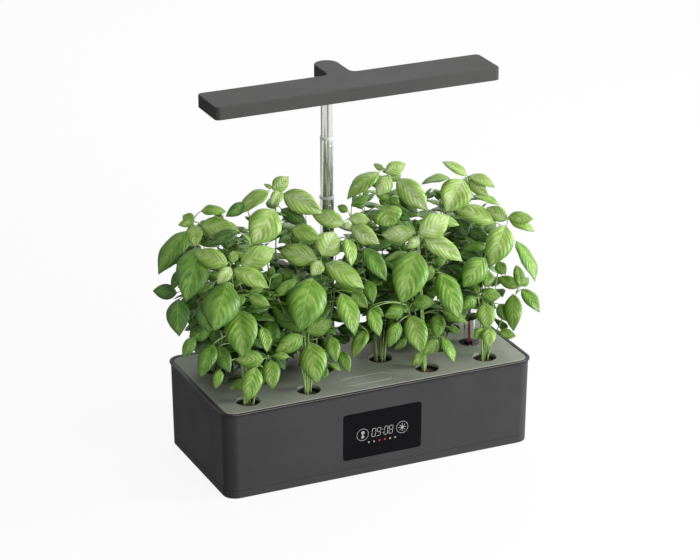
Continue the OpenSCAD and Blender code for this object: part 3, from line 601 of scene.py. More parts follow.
def makeLid():
    plate = addLidSlab("lid", 0, lid["thickness"], deck["top"] - lid["thickness"] / 2)
    softenAt(plate, deck["top"], lid["edge"], 3)
    boss = layAt(addRod("boss", 2.2, -9.9, 9.9, (0, 0), 32), lid["pinX"], lid["y"], lid["pinHeight"])
    rib = addBlock("rib", (30, 2, 2.4), (lid["x"] + 4, lid["y"], deck["top"] - lid["thickness"] - 0.8))
    whole = join("lid", boss, rib, plate)
    finishPiece(whole, "fillLid", "lid", [deckMineral, cutEdge], ["fill_lid"])
    # the lid's rounded top edge takes the painted highlight
    paintEdgeHighlight(whole, deck["top"] - deck["cut"], lambda x, y: True)


# touch panel

marks = {"lift": 0.06, "line": 0.55, "ring": 7.6, "left": (-26.1, 0.5), "right": (26.2, 0.7), "time": "0908",
         "digitHeight": 10.4, "digitWidth": 4.6, "slant": 0.12, "digitsAt": (-11.4, -4.9, 4.6, 11.2),
         "digitLine": 0.75, "dots": (-17.8, -11.0, -3.9, 3.5, 10.3, 16.9), "redDots": (2, 3),
         "dotsHeight": -11.0, "dot": 1.15}
segments = {"0": "abcdef", "8": "abcdefg", "9": "abcdfg"}


def stroke(points, width, closed=False):
    # a thin flat line of ink through points
    count, rows, mesh = len(points), [], bmesh.new()
    for i, point in enumerate(points):
        before = points[i - 1] if i or closed else point
        after = points[(i + 1) % count] if i < count - 1 or closed else point
        along = (Vector(after) - Vector(before)).normalized()
        side = Vector((-along.y, along.x)) * width / 2
        rows.append([mesh.verts.new((*(Vector(point) + way * side), z))
                     for way in (1, -1) for z in (marks["lift"], 0)])
    for i in range(count if closed else count - 1):
        for p, q in ((0, 2), (3, 1), (1, 0), (2, 3)):
            near, far = rows[i], rows[(i + 1) % count]
            mesh.faces.new((near[p], near[q], far[q], far[p]))
    if not closed:
        for row in (rows[0], rows[-1]):
            mesh.faces.new([row[corner] for corner in (0, 1, 3, 2)])
    bmesh.ops.recalc_face_normals(mesh, faces=mesh.faces)
    data = bpy.data.meshes.new("stroke")
    mesh.to_mesh(data)
    mesh.free()
    return link("stroke", data)


def dot(x, y, radius, sides=24):
    return addRod("dot", radius, 0, marks["lift"], (x, y), sides)


def onCircle(x, y, radius, turn):
    return x + radius * math.cos(turn), y + radius * math.sin(turn)


def iconMarks():
    # a drop over a bowl on the left and a sun on the right, each in a ring
    icons = [stroke([onCircle(*middle, marks["ring"], math.tau * i / 48) for i in range(48)],
                    marks["line"], True) for middle in (marks["left"], marks["right"])]
    x, y = marks["left"]
    icons += [dot(x + 0.2, y + 2.5, 2.3), dot(x + 0.1, y - 2.9, 2.0)]
    icons.append(stroke([(x, y + 0.6), (x, y - 1.2)], 1.2))
    x, y = marks["right"]
    icons.append(dot(x, y, 2.2))
    for i in range(8):
        icons.append(stroke([onCircle(x, y, r, math.tau * i / 8) for r in (2.9, 4.9)], 0.8))
    return icons


def clockMarks():
    # slanted seven-segment digits with a colon
    high, wide, slant = marks["digitHeight"] / 2, marks["digitWidth"] / 2, marks["slant"]
    corners = {"a": ((-wide, high), (wide, high)), "b": ((wide, high), (wide, 0)),
               "c": ((wide, 0), (wide, -high)), "d": ((wide, -high), (-wide, -high)),
               "e": ((-wide, -high), (-wide, 0)), "f": ((-wide, 0), (-wide, high)),
               "g": ((-wide, 0), (wide, 0))}
    digits = []
    for digit, at in zip(marks["time"], marks["digitsAt"]):
        for segment in segments[digit]:
            start, end = [Vector(corner) for corner in corners[segment]]
            run = (end - start).normalized() * 0.45
            digits.append(stroke([(at + p.x + slant * p.y, 0.7 + p.y) for p in (start + run, end - run)],
                                 marks["digitLine"]))
    return digits + [dot(0.2 + slant * y, 0.7 + y, 0.5, 12) for y in (-2.2, 2.2)]


def makePanel():
    glass = addBlock("glass", (panel["width"], panel["height"], panel["thickness"] + panel["proud"]),
                     (0, 0, (panel["proud"] - panel["thickness"]) / 2), panel["corner"], 8)
    softenAt(glass, panel["proud"], panel["edge"], 3)
    toFront(glass, panel["centre"])
    finishPiece(glass, "touchGlass", "root", [panelGlass], ["touch_glass"])
    white, red = iconMarks() + clockMarks(), []
    for i, x in enumerate(marks["dots"]):
        (red if i in marks["redDots"] else white).append(dot(x, marks["dotsHeight"], marks["dot"]))
    for pieces, name, material in ((white, "panelMarksWhite", markWhite), (red, "panelMarksRed", markRed)):
        whole = join(name, *pieces)
        whole.data.transform(Matrix.Translation((0, 0, panel["proud"] + 0.005)))
        toFront(whole, panel["centre"])
        finishPiece(whole, name, "root", [material], weighted=False)


# mast

# each tube's holes are (height, radius): a wider one lets the outer tube's pressed button dip in, and the
# last one carries the tube's own button, if it has one
tubes = {"lower": {"radius": 8.9, "bottom": 30, "top": 298.2, "holes": ((288.5, 1.62),), "body": "root",
                   "snap": "lower"},
         "middle": {"radius": 8.05, "bottom": 272, "top": 374, "holes": ((288.5, 1.95), (364.3, 1.62)),
                    "body": "middle_mast", "snap": "upper"},
         "upper": {"radius": 7.2, "bottom": 350.8, "top": 461.3, "holes": ((364.3, 1.95),), "body": "lamp",
                   "snap": None}}
collars = {"lower": {"radius": 9.25, "bottom": 296, "bore": 8.1, "seat": 8.91, "body": "root"},
           "upper": {"radius": 8.4, "bottom": 371.8, "bore": 7.25, "seat": 8.06, "body": "middle_mast"}}
tubeWall = 0.8
button = {"radius": 1.53, "proud": 1.1, "dome": 1.0}


def makeTube(name, tube):
    outer, low, top = tube["radius"], tube["bottom"], tube["top"]
    inner = outer - tubeWall
    wall = [(inner, low), (outer - 0.2, low), (outer, low + 0.2)]
    wall += [(outer, low + (top - low) * k / 12) for k in range(1, 12)]
    wall += [(outer, top - 0.25), (outer - 0.25, top), (inner, top)]
    pipe = addTurned(name, wall, (0, mast["y"]), 96)
    for height, radius in tube["holes"]:
        carve(pipe, layAt(addRod("drill", radius, -3, 3, (0, 0), 24), 0, mast["y"] - outer, height))
    finishPiece(pipe, name + "MastTube", tube["body"], [mastSteel], [name + "_tube"],
                weighted=False)
    snap = tube["snap"]
    if snap:
        depth = tubeWall + button["proud"]
        knob = addRod("knob", button["radius"], 0, depth, (0, 0), 32)
        softenAt(knob, depth, button["dome"], 6)
        layAt(knob, 0, mast["y"] - inner - 0.02, tube["holes"][-1][0])
        finishPiece(knob, snap + "SnapButton", snap + "_snap", [buttonSteel],
                    [snap + "_button"])


def makeCollar(name, collar):
    z, r, seat, bore = collar["bottom"], collar["radius"], collar["seat"], collar["bore"]
    ring = addTurned(name, [(seat, z), (r - 0.15, z), (r, z + 0.15), (r, z + 2.7), (r - 0.12, z + 3.0),
                            (r - 0.4, z + 3.2), (bore + 0.2, z + 3.2), (bore, z + 3.0), (bore, z + 2.2),
                            (seat, z + 2.2)], (0, mast["y"]), 72)
    finishPiece(ring, name + "MastCollar", collar["body"], [whiteAbs], [name + "_collar"])


# lamp

lamp = {"length": 364, "depth": 59, "y": -2.5, "bottom": 450.3, "top": 466.0, "corner": 6, "stem": 30,
        "fillet": 8, "edge": 1.2, "lowEdge": 0.5, "wall": 2.0, "roof": 2.2}


def makeLamp():
    # a T in plan, its corners and the stem's end rounded, then raised, softened and hollowed from below
    back, half, low, top = lamp["y"] + lamp["depth"] / 2, lamp["stem"] / 2, lamp["bottom"], lamp["top"]
    selectOnly()
    bpy.ops.mesh.primitive_plane_add(size=1, location=(0, lamp["y"], low))
    head = settle("lamp", (lamp["length"], lamp["depth"], 1))
    edit(head)
    for x in (-half, half):
        pickAll()
        bpy.ops.mesh.bisect(plane_co=(x, 0, 0), plane_no=(1, 0, 0))
    pick("EDGE", lambda edge: all(abs(v.co.y - back) < 0.01 and abs(v.co.x) < half + 0.01
                                  for v in edge.verts))
    extrude(0, mast["y"] + half - back, 0)
    bpy.ops.mesh.select_mode(type="FACE")
    pickAll()
    bpy.ops.mesh.dissolve_faces()
    for radius, steps, wanted in (
            (lamp["corner"], 8, lambda v: abs(abs(v.co.x) - lamp["length"] / 2) < 0.01),
            (half - 0.01, 18, lambda v: v.co.y > mast["y"]),
            (lamp["fillet"], 8, lambda v: abs(abs(v.co.x) - half) < 0.01 and abs(v.co.y - back) < 0.01)):
        pick("VERT", wanted)
        bpy.ops.mesh.bevel(offset=radius, segments=steps, affect="VERTICES")
    pickAll()
    bpy.ops.mesh.remove_doubles(threshold=0.1)
    bpy.ops.mesh.select_mode(type="FACE")
    pickAll()
    extrude(0, 0, top - low)
    pickAll()
    bpy.ops.mesh.remove_doubles(threshold=0.001)
    pick("EDGE", lambda edge: edge.is_boundary)
    bpy.ops.mesh.edge_face_add()
    mergeAndFaceOut(0.0001)
    leaveEdit()
    softenAt(head, top, lamp["edge"], 5)
    softenAt(head, low, lamp["lowEdge"], 3)
    edit(head)
    pick("FACE", lambda face: face.normal.z < -0.95 and face.calc_area() > 1000)
    bpy.ops.mesh.inset(thickness=lamp["wall"] - lamp["lowEdge"], depth=0)
    extrude(0, 0, top - lamp["roof"] - low)
    leaveEdit()
    finishPiece(head, "lampHead", "lamp", [lampAbs], ["lamp_cover"])


# basil: the leaves that face the front are placed one by one, the rest grow in pairs up the stems

basil = {"stems": 6, "foot": 102.8, "footRing": 6.5, "reach": 40, "stemWidth": 2.3, "petioleWidth": 1.5,
         "gap": 25, "first": 138, "ceiling": 346, "halfX": 260, "halfY": 109.5, "floor": 112.8,
         "clearMast": 13, "clearGauge": 11, "lidSwing": 166, "thickness": 0.4, "behind": 6, "outline": 1.5,
         "veins": 6.5, "sizes": (1.0, 0.78, 0.58), "seed": 12,
         # front leaves: the depth that a leaf's lightness gives it, how far a hanging one stands forward, the
         # nearest foot, how much longer and broader than seen they are, and the least width by length
         "middleLight": 0.55, "depthByLight": 22, "forward": 9, "nearestFoot": -92, "longer": 1.06,
         "broader": 1.07, "slimmest": 0.5,
         # from and to of what is drawn at random for a stem, a pair and a tuft
         "tipReach": (0.35, 1.0), "tipHeight": (215, 325), "girth": (0.75, 1.1), "stalk": (0.18, 0.3),
         "broad": (0.58, 0.7), "droop": (0.05, 0.35), "roll": (-0.35, 0.35), "tuftSlope": (35, 65),
         "tuftLength": (8, 14),
         # from and to of each random measure of a leaf's form, in the order in which they are drawn
         "frontForm": {"bend": (0.5, 1.0), "fold": (0.28, 0.5), "curl": (0.35, 0.6), "wave": (0.03, 0.1),
                       "sweep": (-0.06, 0.06), "phase": (0, 1)},
         "pairForm": {"bend": (0.5, 1.1), "fold": (0.25, 0.5), "curl": (0.35, 0.6), "wave": (0.03, 0.12),
                      "sweep": (-0.08, 0.08), "phase": (0, 1)}}

# half width of a leaf along its length, as a share of the widest
leafOutline = ((0, 0.05), (0.06, 0.34), (0.14, 0.64), (0.24, 0.87), (0.35, 0.98), (0.46, 1), (0.57, 0.94),
               (0.69, 0.79), (0.80, 0.57), (0.89, 0.33), (0.95, 0.15), (1, 0.02))

# size in pixels of the camera's view, in which the plants' places are given
view = {"width": 700, "height": 560}

# tips of the main shoots: where they fall in the view and how deep they stand, by pod
shoots = {"01": ((230, 262, -58), (269, 355, -78)), "02": ((304, 332, -76),),
          "03": ((417, 234, -56), (406, 305, -72)),
          "04": ((508, 219, -45), (520, 287, -58), (478, 294, -74)), "06": ((321, 259, -32),),
          "07": ((351, 219, -12),), "09": ((192, 222, 12),), "10": ((276, 190, 20),),
          "11": ((391, 174, 28),), "12": ((469, 178, 22),)}

# depth of the plants' front, at more places in the view
frontDepth = ((205, 372, -78), (250, 388, -80), (310, 372, -80), (380, 345, -60), (425, 352, -76),
              (485, 342, -77), (165, 250, -5), (160, 290, -30), (172, 318, -50), (535, 255, -20),
              (532, 300, -45), (205, 300, -62), (250, 320, -72), (350, 300, -64), (372, 250, -40),
              (450, 320, -72), (300, 225, -15), (440, 205, -5))

# the crown's edge in the view: left to right, its top and its bottom
crownEdge = ((172, 250, 320), (182, 222, 345), (200, 212, 368), (214, 208, 382), (246, 214, 394),
             (264, 206, 382), (272, 182, 382), (290, 184, 370), (304, 192, 372), (312, 228, 376),
             (322, 236, 374), (334, 212, 366), (348, 192, 364), (366, 172, 347), (390, 162, 343),
             (400, 168, 345), (412, 180, 356), (440, 180, 353), (450, 172, 335), (464, 168, 326),
             (484, 178, 344), (496, 203, 338), (518, 209, 322), (528, 220, 300), (536, 252, 305))

# front leaves in the view: foot, tip, width as seen, and how light the leaf is, which is partly its own
# colour and partly painted light and shade
frontLeaves = (
    (269, 191, 240, 213, 15, 0.85), (273, 190, 288, 177, 15, 0.95), (273, 189, 264, 184, 4, 0.9),
    (281, 191, 272, 205, 12, 0.95), (283, 194, 320, 212, 22, 0.95), (379, 172, 349, 198, 16, 0.8),
    (384, 170, 374, 164, 6, 0.9), (385, 172, 405, 164, 14, 0.9), (389, 175, 378, 195, 17, 0.95),
    (397, 179, 426, 209, 22, 0.95), (450, 178, 423, 184, 8, 0.65), (463, 180, 447, 211, 30, 0.9),
    (466, 176, 444, 162, 10, 0.9), (469, 176, 493, 187, 11, 0.85), (469, 180, 487, 195, 13, 0.9),
    (193, 221, 179, 225, 8, 0.75), (194, 222, 183, 216, 12, 0.75), (194, 225, 196, 246, 16, 0.85),
    (201, 225, 237, 230, 20, 0.8), (201, 211, 225, 212, 10, 0.7), (246, 203, 227, 216, 12, 0.4),
    (275, 210, 254, 243, 32, 0.85), (281, 209, 306, 225, 15, 0.25), (344, 223, 313, 214, 17, 0.9),
    (348, 222, 346, 229, 8, 1), (348, 211, 338, 206, 8, 0.6), (349, 219, 369, 220, 13, 0.95),
    (351, 206, 369, 197, 9, 0.5), (384, 206, 391, 227, 29, 0.75), (390, 198, 377, 196, 8, 0.6),
    (390, 198, 399, 204, 10, 0.6), (396, 214, 410, 220, 8, 0.3), (399, 196, 417, 213, 10, 0.25),
    (435, 219, 458, 225, 11, 0.85), (459, 218, 466, 236, 18, 0.2), (473, 196, 498, 205, 8, 0.8),
    (496, 223, 455, 209, 18, 0.85), (505, 225, 491, 264, 26, 0.8), (507, 220, 488, 208, 14, 0.85),
    (508, 217, 532, 219, 13, 0.8), (510, 221, 533, 231, 10, 0.8), (187, 231, 161, 272, 22, 0.5),
    (200, 248, 188, 299, 32, 0.5), (238, 231, 211, 245, 13, 0.3), (290, 233, 279, 243, 8, 0.3),
    (291, 229, 319, 238, 17, 0.8), (346, 238, 351, 265, 13, 0.8), (351, 227, 378, 243, 18, 0.95),
    (364, 248, 385, 279, 18, 0.45), (407, 252, 385, 261, 7, 0.65), (414, 233, 383, 235, 18, 0.95),
    (416, 251, 402, 301, 34, 0.65), (419, 234, 448, 217, 24, 0.95), (419, 237, 408, 248, 11, 0.95),
    (424, 238, 460, 260, 19, 0.95), (469, 230, 488, 239, 14, 0.3), (487, 246, 463, 250, 10, 0.55),
    (517, 241, 533, 279, 14, 0.6), (181, 269, 173, 289, 10, 0.4), (215, 282, 195, 293, 7, 0.6),
    (228, 264, 195, 253, 19, 0.8), (228, 282, 216, 328, 35, 0.55), (231, 268, 218, 283, 13, 0.95),
    (233, 269, 267, 287, 18, 0.8), (233, 263, 233, 251, 10, 0.8), (240, 264, 273, 250, 22, 0.85),
    (296, 280, 273, 296, 12, 0.65), (312, 278, 301, 328, 38, 0.6), (317, 259, 281, 251, 21, 0.9),
    (321, 261, 312, 275, 14, 0.95), (322, 256, 334, 233, 27, 0.95), (325, 263, 362, 287, 20, 0.85),
    (367, 280, 373, 302, 13, 0.6), (432, 266, 426, 281, 10, 0.6), (434, 262, 446, 260, 10, 0.65),
    (440, 272, 458, 317, 24, 0.6), (485, 258, 464, 286, 24, 0.65), (489, 271, 486, 286, 13, 0.6),
    (497, 262, 505, 274, 11, 0.65), (177, 293, 154, 291, 15, 0.3), (178, 299, 180, 334, 22, 0.35),
    (195, 310, 185, 323, 7, 0.3), (201, 303, 210, 331, 18, 0.4), (240, 294, 241, 306, 10, 0.6),
    (240, 310, 244, 355, 31, 0.65), (248, 296, 269, 305, 12, 0.75), (248, 295, 263, 288, 7, 0.7),
    (341, 293, 354, 333, 20, 0.65), (352, 292, 367, 307, 13, 0.65), (370, 306, 383, 316, 10, 0.65),
    (370, 309, 379, 335, 14, 0.65), (404, 309, 385, 316, 14, 0.65), (412, 303, 434, 302, 14, 0.55),
    (438, 313, 437, 337, 15, 0.6), (442, 311, 466, 322, 10, 0.6), (476, 297, 463, 309, 13, 0.6),
    (478, 294, 476, 286, 6, 0.65), (481, 294, 500, 296, 14, 0.65), (484, 303, 487, 328, 18, 0.75),
    (499, 304, 509, 321, 14, 0.45), (513, 294, 513, 329, 17, 0.7), (519, 287, 499, 278, 12, 0.7),
    (520, 286, 517, 266, 11, 0.6), (521, 286, 529, 278, 8, 0.6), (522, 289, 538, 311, 13, 0.6),
    (194, 337, 184, 357, 12, 0.5), (210, 331, 190, 336, 15, 0.45), (211, 328, 221, 344, 13, 0.4),
    (213, 344, 202, 375, 17, 0.5), (262, 327, 267, 351, 12, 0.6), (303, 332, 271, 302, 22, 0.5),
    (303, 336, 277, 351, 17, 0.7), (306, 332, 331, 322, 18, 0.65), (310, 342, 317, 381, 26, 0.75),
    (331, 336, 336, 361, 14, 0.65), (367, 330, 354, 356, 13, 0.7), (399, 322, 389, 346, 14, 0.6),
    (407, 339, 395, 349, 8, 0.6), (411, 315, 421, 351, 22, 0.75), (438, 340, 424, 354, 13, 0.75),
    (442, 337, 453, 361, 11, 0.6), (449, 327, 460, 333, 7, 0.6), (483, 328, 475, 339, 11, 0.7),
    (489, 327, 488, 346, 14, 0.8), (499, 332, 515, 336, 10, 0.65), (218, 346, 230, 371, 15, 0.45),
    (220, 369, 216, 388, 10, 0.65), (256, 367, 248, 399, 20, 0.7), (264, 359, 237, 360, 17, 0.75),
    (271, 360, 273, 388, 17, 0.7), (273, 356, 289, 357, 7, 0.75), (324, 366, 325, 379, 8, 0.6),
    (329, 363, 340, 371, 5, 0.6), (341, 351, 349, 371, 12, 0.6), (423, 353, 413, 365, 10, 0.7),
    (246, 380, 230, 389, 10, 0.65),
)

eye = np.array(camera["place"]) / toMetres
focal = camera["lens"] / camera["sensor"] * view["width"]
right, up, back = [np.array(axis) for axis in cameraAxes()]
depthMarks = np.array([mark for marks in shoots.values() for mark in marks] + list(frontDepth), float)


def inView(points):
    # where points in millimetres fall in the camera's view
    rays = np.asarray(points) - eye
    depth = -rays @ back
    return (view["width"] / 2 + focal * (rays @ right) / depth,
            view["height"] / 2 - focal * (rays @ up) / depth)


def fromView(u, v, y):
    # the point in millimetres that stands at depth y and falls on a place in the view
    ray = -back + right * (u - view["width"] / 2) / focal + up * (view["height"] / 2 - v) / focal
    return eye + ray * (y - eye[1]) / ray[1]


def unit(vector):
    return np.asarray(vector) / np.linalg.norm(vector)


def heading(turn, slope):
    # the direction at an angle round the stem and an angle above level
    return np.array((math.cos(turn) * math.cos(slope), math.sin(turn) * math.cos(slope), math.sin(slope)))


def frontAt(u, v):
    # depth of the plants' front at a place in the view, smoothed between the marks
    across, down, depths = depthMarks.T
    near = (np.subtract.outer(u, across) ** 2 + np.subtract.outer(v, down) ** 2 + 60) ** -1.5
    return near @ depths / near.sum(axis=-1)


def inCrown(points):
    # inside the crown's edge in the view, and behind the placed leaves
    u, v = inView(points)
    places, tops, lows = np.array(crownEdge, float).T
    margin = basil["outline"]
    above, below = np.interp(u, places, tops) + margin, np.interp(u, places, lows) - margin
    inside = (u > places[0]) & (u < places[-1]) & (v > above) & (v < below)
    return inside.all() and (points[:, 1] > frontAt(u, v) + basil["behind"]).all()


def isClear(points):
    # inside the model's box, above the deck, clear of the mast, the gauge and the lid's swing
    x, y, z = points.T
    inBox = (abs(x) < basil["halfX"]) & (abs(y) < basil["halfY"])
    inBox = inBox & (z < basil["ceiling"]) & (z > basil["floor"])
    offMast = np.hypot(x, y - mast["y"]) > basil["clearMast"]
    offGauge = (np.hypot(x - gauge["x"], y - gauge["y"]) > basil["clearGauge"]) | (z > gauge["tubeTop"] + 3)
    offLid = (abs(y - lid["y"]) > lid["width"] / 2 + 2) | (x < -42) | (x > 30) | (z > basil["lidSwing"])
    return (inBox & offMast & offGauge & offLid).all()


def makeLeafPattern(rows, columns):
    # one flat leaf, u along it and v across it, given a second face by Solidify
    selectOnly()
    bpy.ops.mesh.primitive_grid_add(x_subdivisions=rows, y_subdivisions=columns, size=2, location=(0, 0, 0))
    sheet = bpy.context.object
    solid = sheet.modifiers.new("underside", "SOLIDIFY")
    solid.thickness, solid.offset = 0.01, -1
    bpy.ops.object.modifier_apply(modifier="underside")
    places = np.array([vert.co[:] for vert in sheet.data.vertices])
    faces = [tuple(face.vertices) for face in sheet.data.polygons]
    skin = [0 if face.normal.z > 0.5 else 1 for face in sheet.data.polygons]
    bpy.data.objects.remove(sheet)
    u, v = (places[:, 0] + 1) / 2, places[:, 1]
    swept = (u - 0.24 * abs(v) - 0.2 * v ** 2) * basil["veins"]
    return {"u": u, "v": v, "map": np.column_stack((swept, v)), "under": places[:, 2] < -0.005,
            "faces": faces, "skin": skin}


def addPart(plant, points, faces, uv, tone, skin):
    # adds a closed part to a plant that is still lists of points
    start = sum(len(batch) for batch in plant["points"])
    plant["points"].append(points)
    plant["uv"].append(uv)
    plant["tone"].append(np.tile((*tone, 1.0), (len(points), 1)))
    plant["faces"] += [tuple(start + corner for corner in face) for face in faces]
    plant["skin"] += skin


def addTube(plant, points, radii, sides, tone):
    points = np.asarray(points)
    tangents = np.gradient(points, axis=0)
    side = np.cross(tangents[0], (0.3, 0.9, 0.15))
    angles = np.arange(sides) * math.tau / sides
    rings, count = [], len(points)
    for point, along, radius in zip(points, tangents, radii):
        along = unit(along)
        side = unit(side - along * (side @ along))
        ring = np.outer(np.cos(angles), side) + np.outer(np.sin(angles), np.cross(along, side))
        rings.append(point + radius * ring)
    faces = [(k + i, k + (i + 1) % sides, k + sides + (i + 1) % sides, k + sides + i)
             for k in range(0, (count - 1) * sides, sides) for i in range(sides)]
    faces += [tuple(reversed(range(sides))), tuple(range((count - 1) * sides, count * sides))]
    uv = np.column_stack((np.repeat(np.linspace(0, 1, count), sides), np.tile(angles / math.tau, count)))
    addPart(plant, np.vstack(rings), faces, uv, (tone, 0.5, 0.5), [2] * len(faces))


def addLeaf(plant, pattern, leaf, points):
    addPart(plant, points, pattern["faces"], pattern["map"],
            (leaf["tone"], leaf["phase"], min(leaf["length"] / 60, 1)), pattern["skin"])


def leafPoints(pattern, leaf):
    # the flat pattern, bent along its length and cupped across it
    u, v, side = pattern["u"], pattern["v"], np.abs(pattern["v"])
    half = leaf["width"] / 2 * np.interp(u, *zip(*leafOutline))
    turn, radius = leaf["bend"] * (u - 0.5), leaf["length"] / (2 * math.sin(leaf["bend"] / 2))
    lift = half * (leaf["fold"] * side - leaf["curl"] * side ** 2)
    lift += leaf["wave"] * half * side ** 2 * np.sin(math.tau * (1.7 * u + leaf["phase"] + 0.2 * np.sign(v)))
    lift -= pattern["under"] * basil["thickness"]
    along = leaf["length"] / 2 + radius * np.sin(turn) + lift * np.sin(turn)
    high = radius * (np.cos(turn) - math.cos(leaf["bend"] / 2)) + lift * np.cos(turn)
    across = half * v + leaf["sweep"] * leaf["length"] * (u - u * u)
    return (leaf["foot"] + np.outer(along, leaf["axis"]) + np.outer(high, leaf["normal"])
            + np.outer(across, np.cross(leaf["normal"], leaf["axis"])))


def rolled(axis, facing, angle):
    # the direction square to the leaf's axis that faces one way, rolled about the axis
    normal = unit(facing - axis * (facing @ axis))
    return normal * math.cos(angle) + np.cross(axis, normal) * math.sin(angle)


def drawnForm(name, draw):
    return {key: draw(*limits) for key, limits in basil[name].items()}


def growStems(name, place, draw):
    # stems up from the peat, leaning out more the higher they get: first the placed shoots, then random ones
    foot = np.array((*place, basil["foot"]))
    tips = [fromView(*mark) for mark in shoots.get(name, ())]
    turn, tries = draw(0, math.tau), 0
    while len(tips) < basil["stems"] and tries < 200:
        tries += 1
        turn += 2.4
        tip = onCircle(*place, basil["reach"] * draw(*basil["tipReach"]), turn)
        tip = np.array((*tip, draw(*basil["tipHeight"])))
        if isClear(tip[None]) and inCrown(tip[None]):
            tips.append(tip)
    paths, share = [], np.linspace(0, 1, 13)
    for tip in tips:
        start = foot + np.array((*unit((tip - foot)[:2] + 1e-3) * basil["footRing"] * draw(0.5, 1.0), 0.0))
        path = start + np.outer(share, tip - start)
        path[:, :2] = start[:2] + np.outer(share ** 1.5, (tip - start)[:2])
        paths.append(path)
    return paths


def pairedLeaves(path, draw):
    # foot, direction and length of opposite pairs up a stem, each pair a quarter turn from the last, smaller
    # towards the tip, and a small tuft at the tip
    height, turn, leaves = basil["first"] + draw(-8, 8), draw(0, math.tau), []
    top = path[-1][2]
    while height < top - 4:
        node = np.array([np.interp(height, path[:, 2], path[:, k]) for k in range(3)])
        share = (top - height) / (top - basil["first"] + 1)
        length = (15 + 100 * share * (1.12 - share)) * draw(0.85, 1.15)
        for half in (0, math.pi):
            angle = turn + half + draw(-0.3, 0.3)
            slope = math.radians(42 - 75 * share ** 0.8 + draw(-12, 12))
            leaves.append((node, heading(angle, slope), length))
        turn += math.pi / 2 + draw(-0.25, 0.25)
        height += basil["gap"] * (0.45 + 0.65 * share) * draw(0.85, 1.15)
    for k in range(4):
        axis = heading(turn + k * math.pi / 2, math.radians(draw(*basil["tuftSlope"])))
        leaves.append((path[-1], axis, draw(*basil["tuftLength"])))
    return leaves


def growPair(plant, pattern, node, axis, length, draw):
    # one leaf of a pair: where it has no room it grows smaller, or not at all
    stalk, broad = draw(*basil["stalk"]), draw(*basil["broad"])
    drooped = unit(axis - np.array((0, 0, draw(*basil["droop"]))))
    # darker lower down, a painted shade, and differing at random
    tone = 0.2 + 0.5 * (node[2] - 120) / 220 + draw(-0.12, 0.12)
    leaf = {"axis": drooped, "normal": rolled(drooped, np.array((0, 0, 1.0)), draw(*basil["roll"])),
            "tone": min(max(tone, 0.08), 0.8), **drawnForm("pairForm", draw)}
    for size in basil["sizes"]:
        leaf["length"], leaf["width"] = length * size, length * size * broad
        leaf["foot"] = node + axis * stalk * length * size
        points = leafPoints(pattern, leaf)
        if isClear(points) and inCrown(points):
            addLeaf(plant, pattern, leaf, points)
            bow = [node, (node + leaf["foot"]) / 2 + (0, 0, 0.3), leaf["foot"] + drooped * 0.8]
            addTube(plant, bow, (0.75, 0.65, 0.5), 5, leaf["tone"])
            return 1
    return 0


def frontLeaf(row, draw):
    # place, direction, size and form of a leaf whose foot, tip and width are given in the view
    u0, v0, u1, v1, wide, light = row
    long = math.hypot(u1 - u0, v1 - v0)
    rise = (v0 - v1) / long
    depth = frontAt(u0, v0) - (light - basil["middleLight"]) * basil["depthByLight"] + draw(-4, 4)
    if rise < -0.6 and long > 25:
        depth -= basil["forward"]
    foot = fromView(u0, v0, max(depth, basil["nearestFoot"]))
    perPixel = -((foot - eye) @ back) / focal
    flat = unit(right * (u1 - u0) + up * (v0 - v1))
    lean = 0.35 * max(-rise, 0) - 0.5 * max(rise, 0) + draw(-0.12, 0.12)
    chord = (flat + back * lean) * long * basil["longer"] * perPixel
    length, axis = np.linalg.norm(chord), unit(chord)
    seen = basil["broader"] * wide * perPixel
    width = max(seen, basil["slimmest"] * length)
    roll = math.acos(min(seen / width, 1))
    outward = np.array((flat[0], flat[1], 0)) * 0.5 + np.array((draw(-0.2, 0.2), 0, 1))
    normal = max([rolled(axis, back, way * roll) for way in (-1, 1)], key=lambda option: option @ outward)
    # the leaf's colour takes how light it looks, painted light and shade included
    return {"foot": foot, "axis": axis, "normal": normal, "length": length, "width": width, "tone": light,
            **drawnForm("frontForm", draw)}


def growFront(plants, pattern, joints, draw):
    # the placed leaves, kept inside the model's box, each on a stalk from the nearest stem
    spots = np.array([point for name, point in joints])
    nearest, lowest = -basil["halfY"], basil["floor"]
    for row in frontLeaves:
        leaf = frontLeaf(row, draw)
        points = leafPoints(pattern, leaf)
        front, low = points[:, 1].min(), points[:, 2].min()
        # a leaf that reaches too far slides along the lines of sight, which keeps its place in the view
        scale = 1
        if front < nearest:
            scale = (nearest - eye[1]) / (front - eye[1])
        elif low < lowest:
            scale = (lowest - eye[2]) / (low - eye[2])
        points = eye + (points - eye) * scale
        lift = np.array((0, max(nearest - points[:, 1].min(), 0), max(lowest - points[:, 2].min(), 0)))
        leaf["foot"], points = eye + (leaf["foot"] - eye) * scale + lift, points + lift
        away = np.linalg.norm((spots - leaf["foot"]) * (1, 1, 1.3) + (0, 0, 8), axis=1)
        name, joint = joints[np.argmin(away)]
        addLeaf(plants[name], pattern, leaf, points)
        share = np.linspace(0, 1, 7)[:, None]
        bow = joint + (leaf["foot"] + leaf["axis"] * 0.8 - joint) * share
        bow[:, 2] += 0.12 * np.linalg.norm(leaf["foot"] - joint) * (share * (1 - share))[:, 0] * 4
        addTube(plants[name], bow, np.linspace(0.8, 0.55, 7) * basil["petioleWidth"] / 1.5, 6, leaf["tone"])


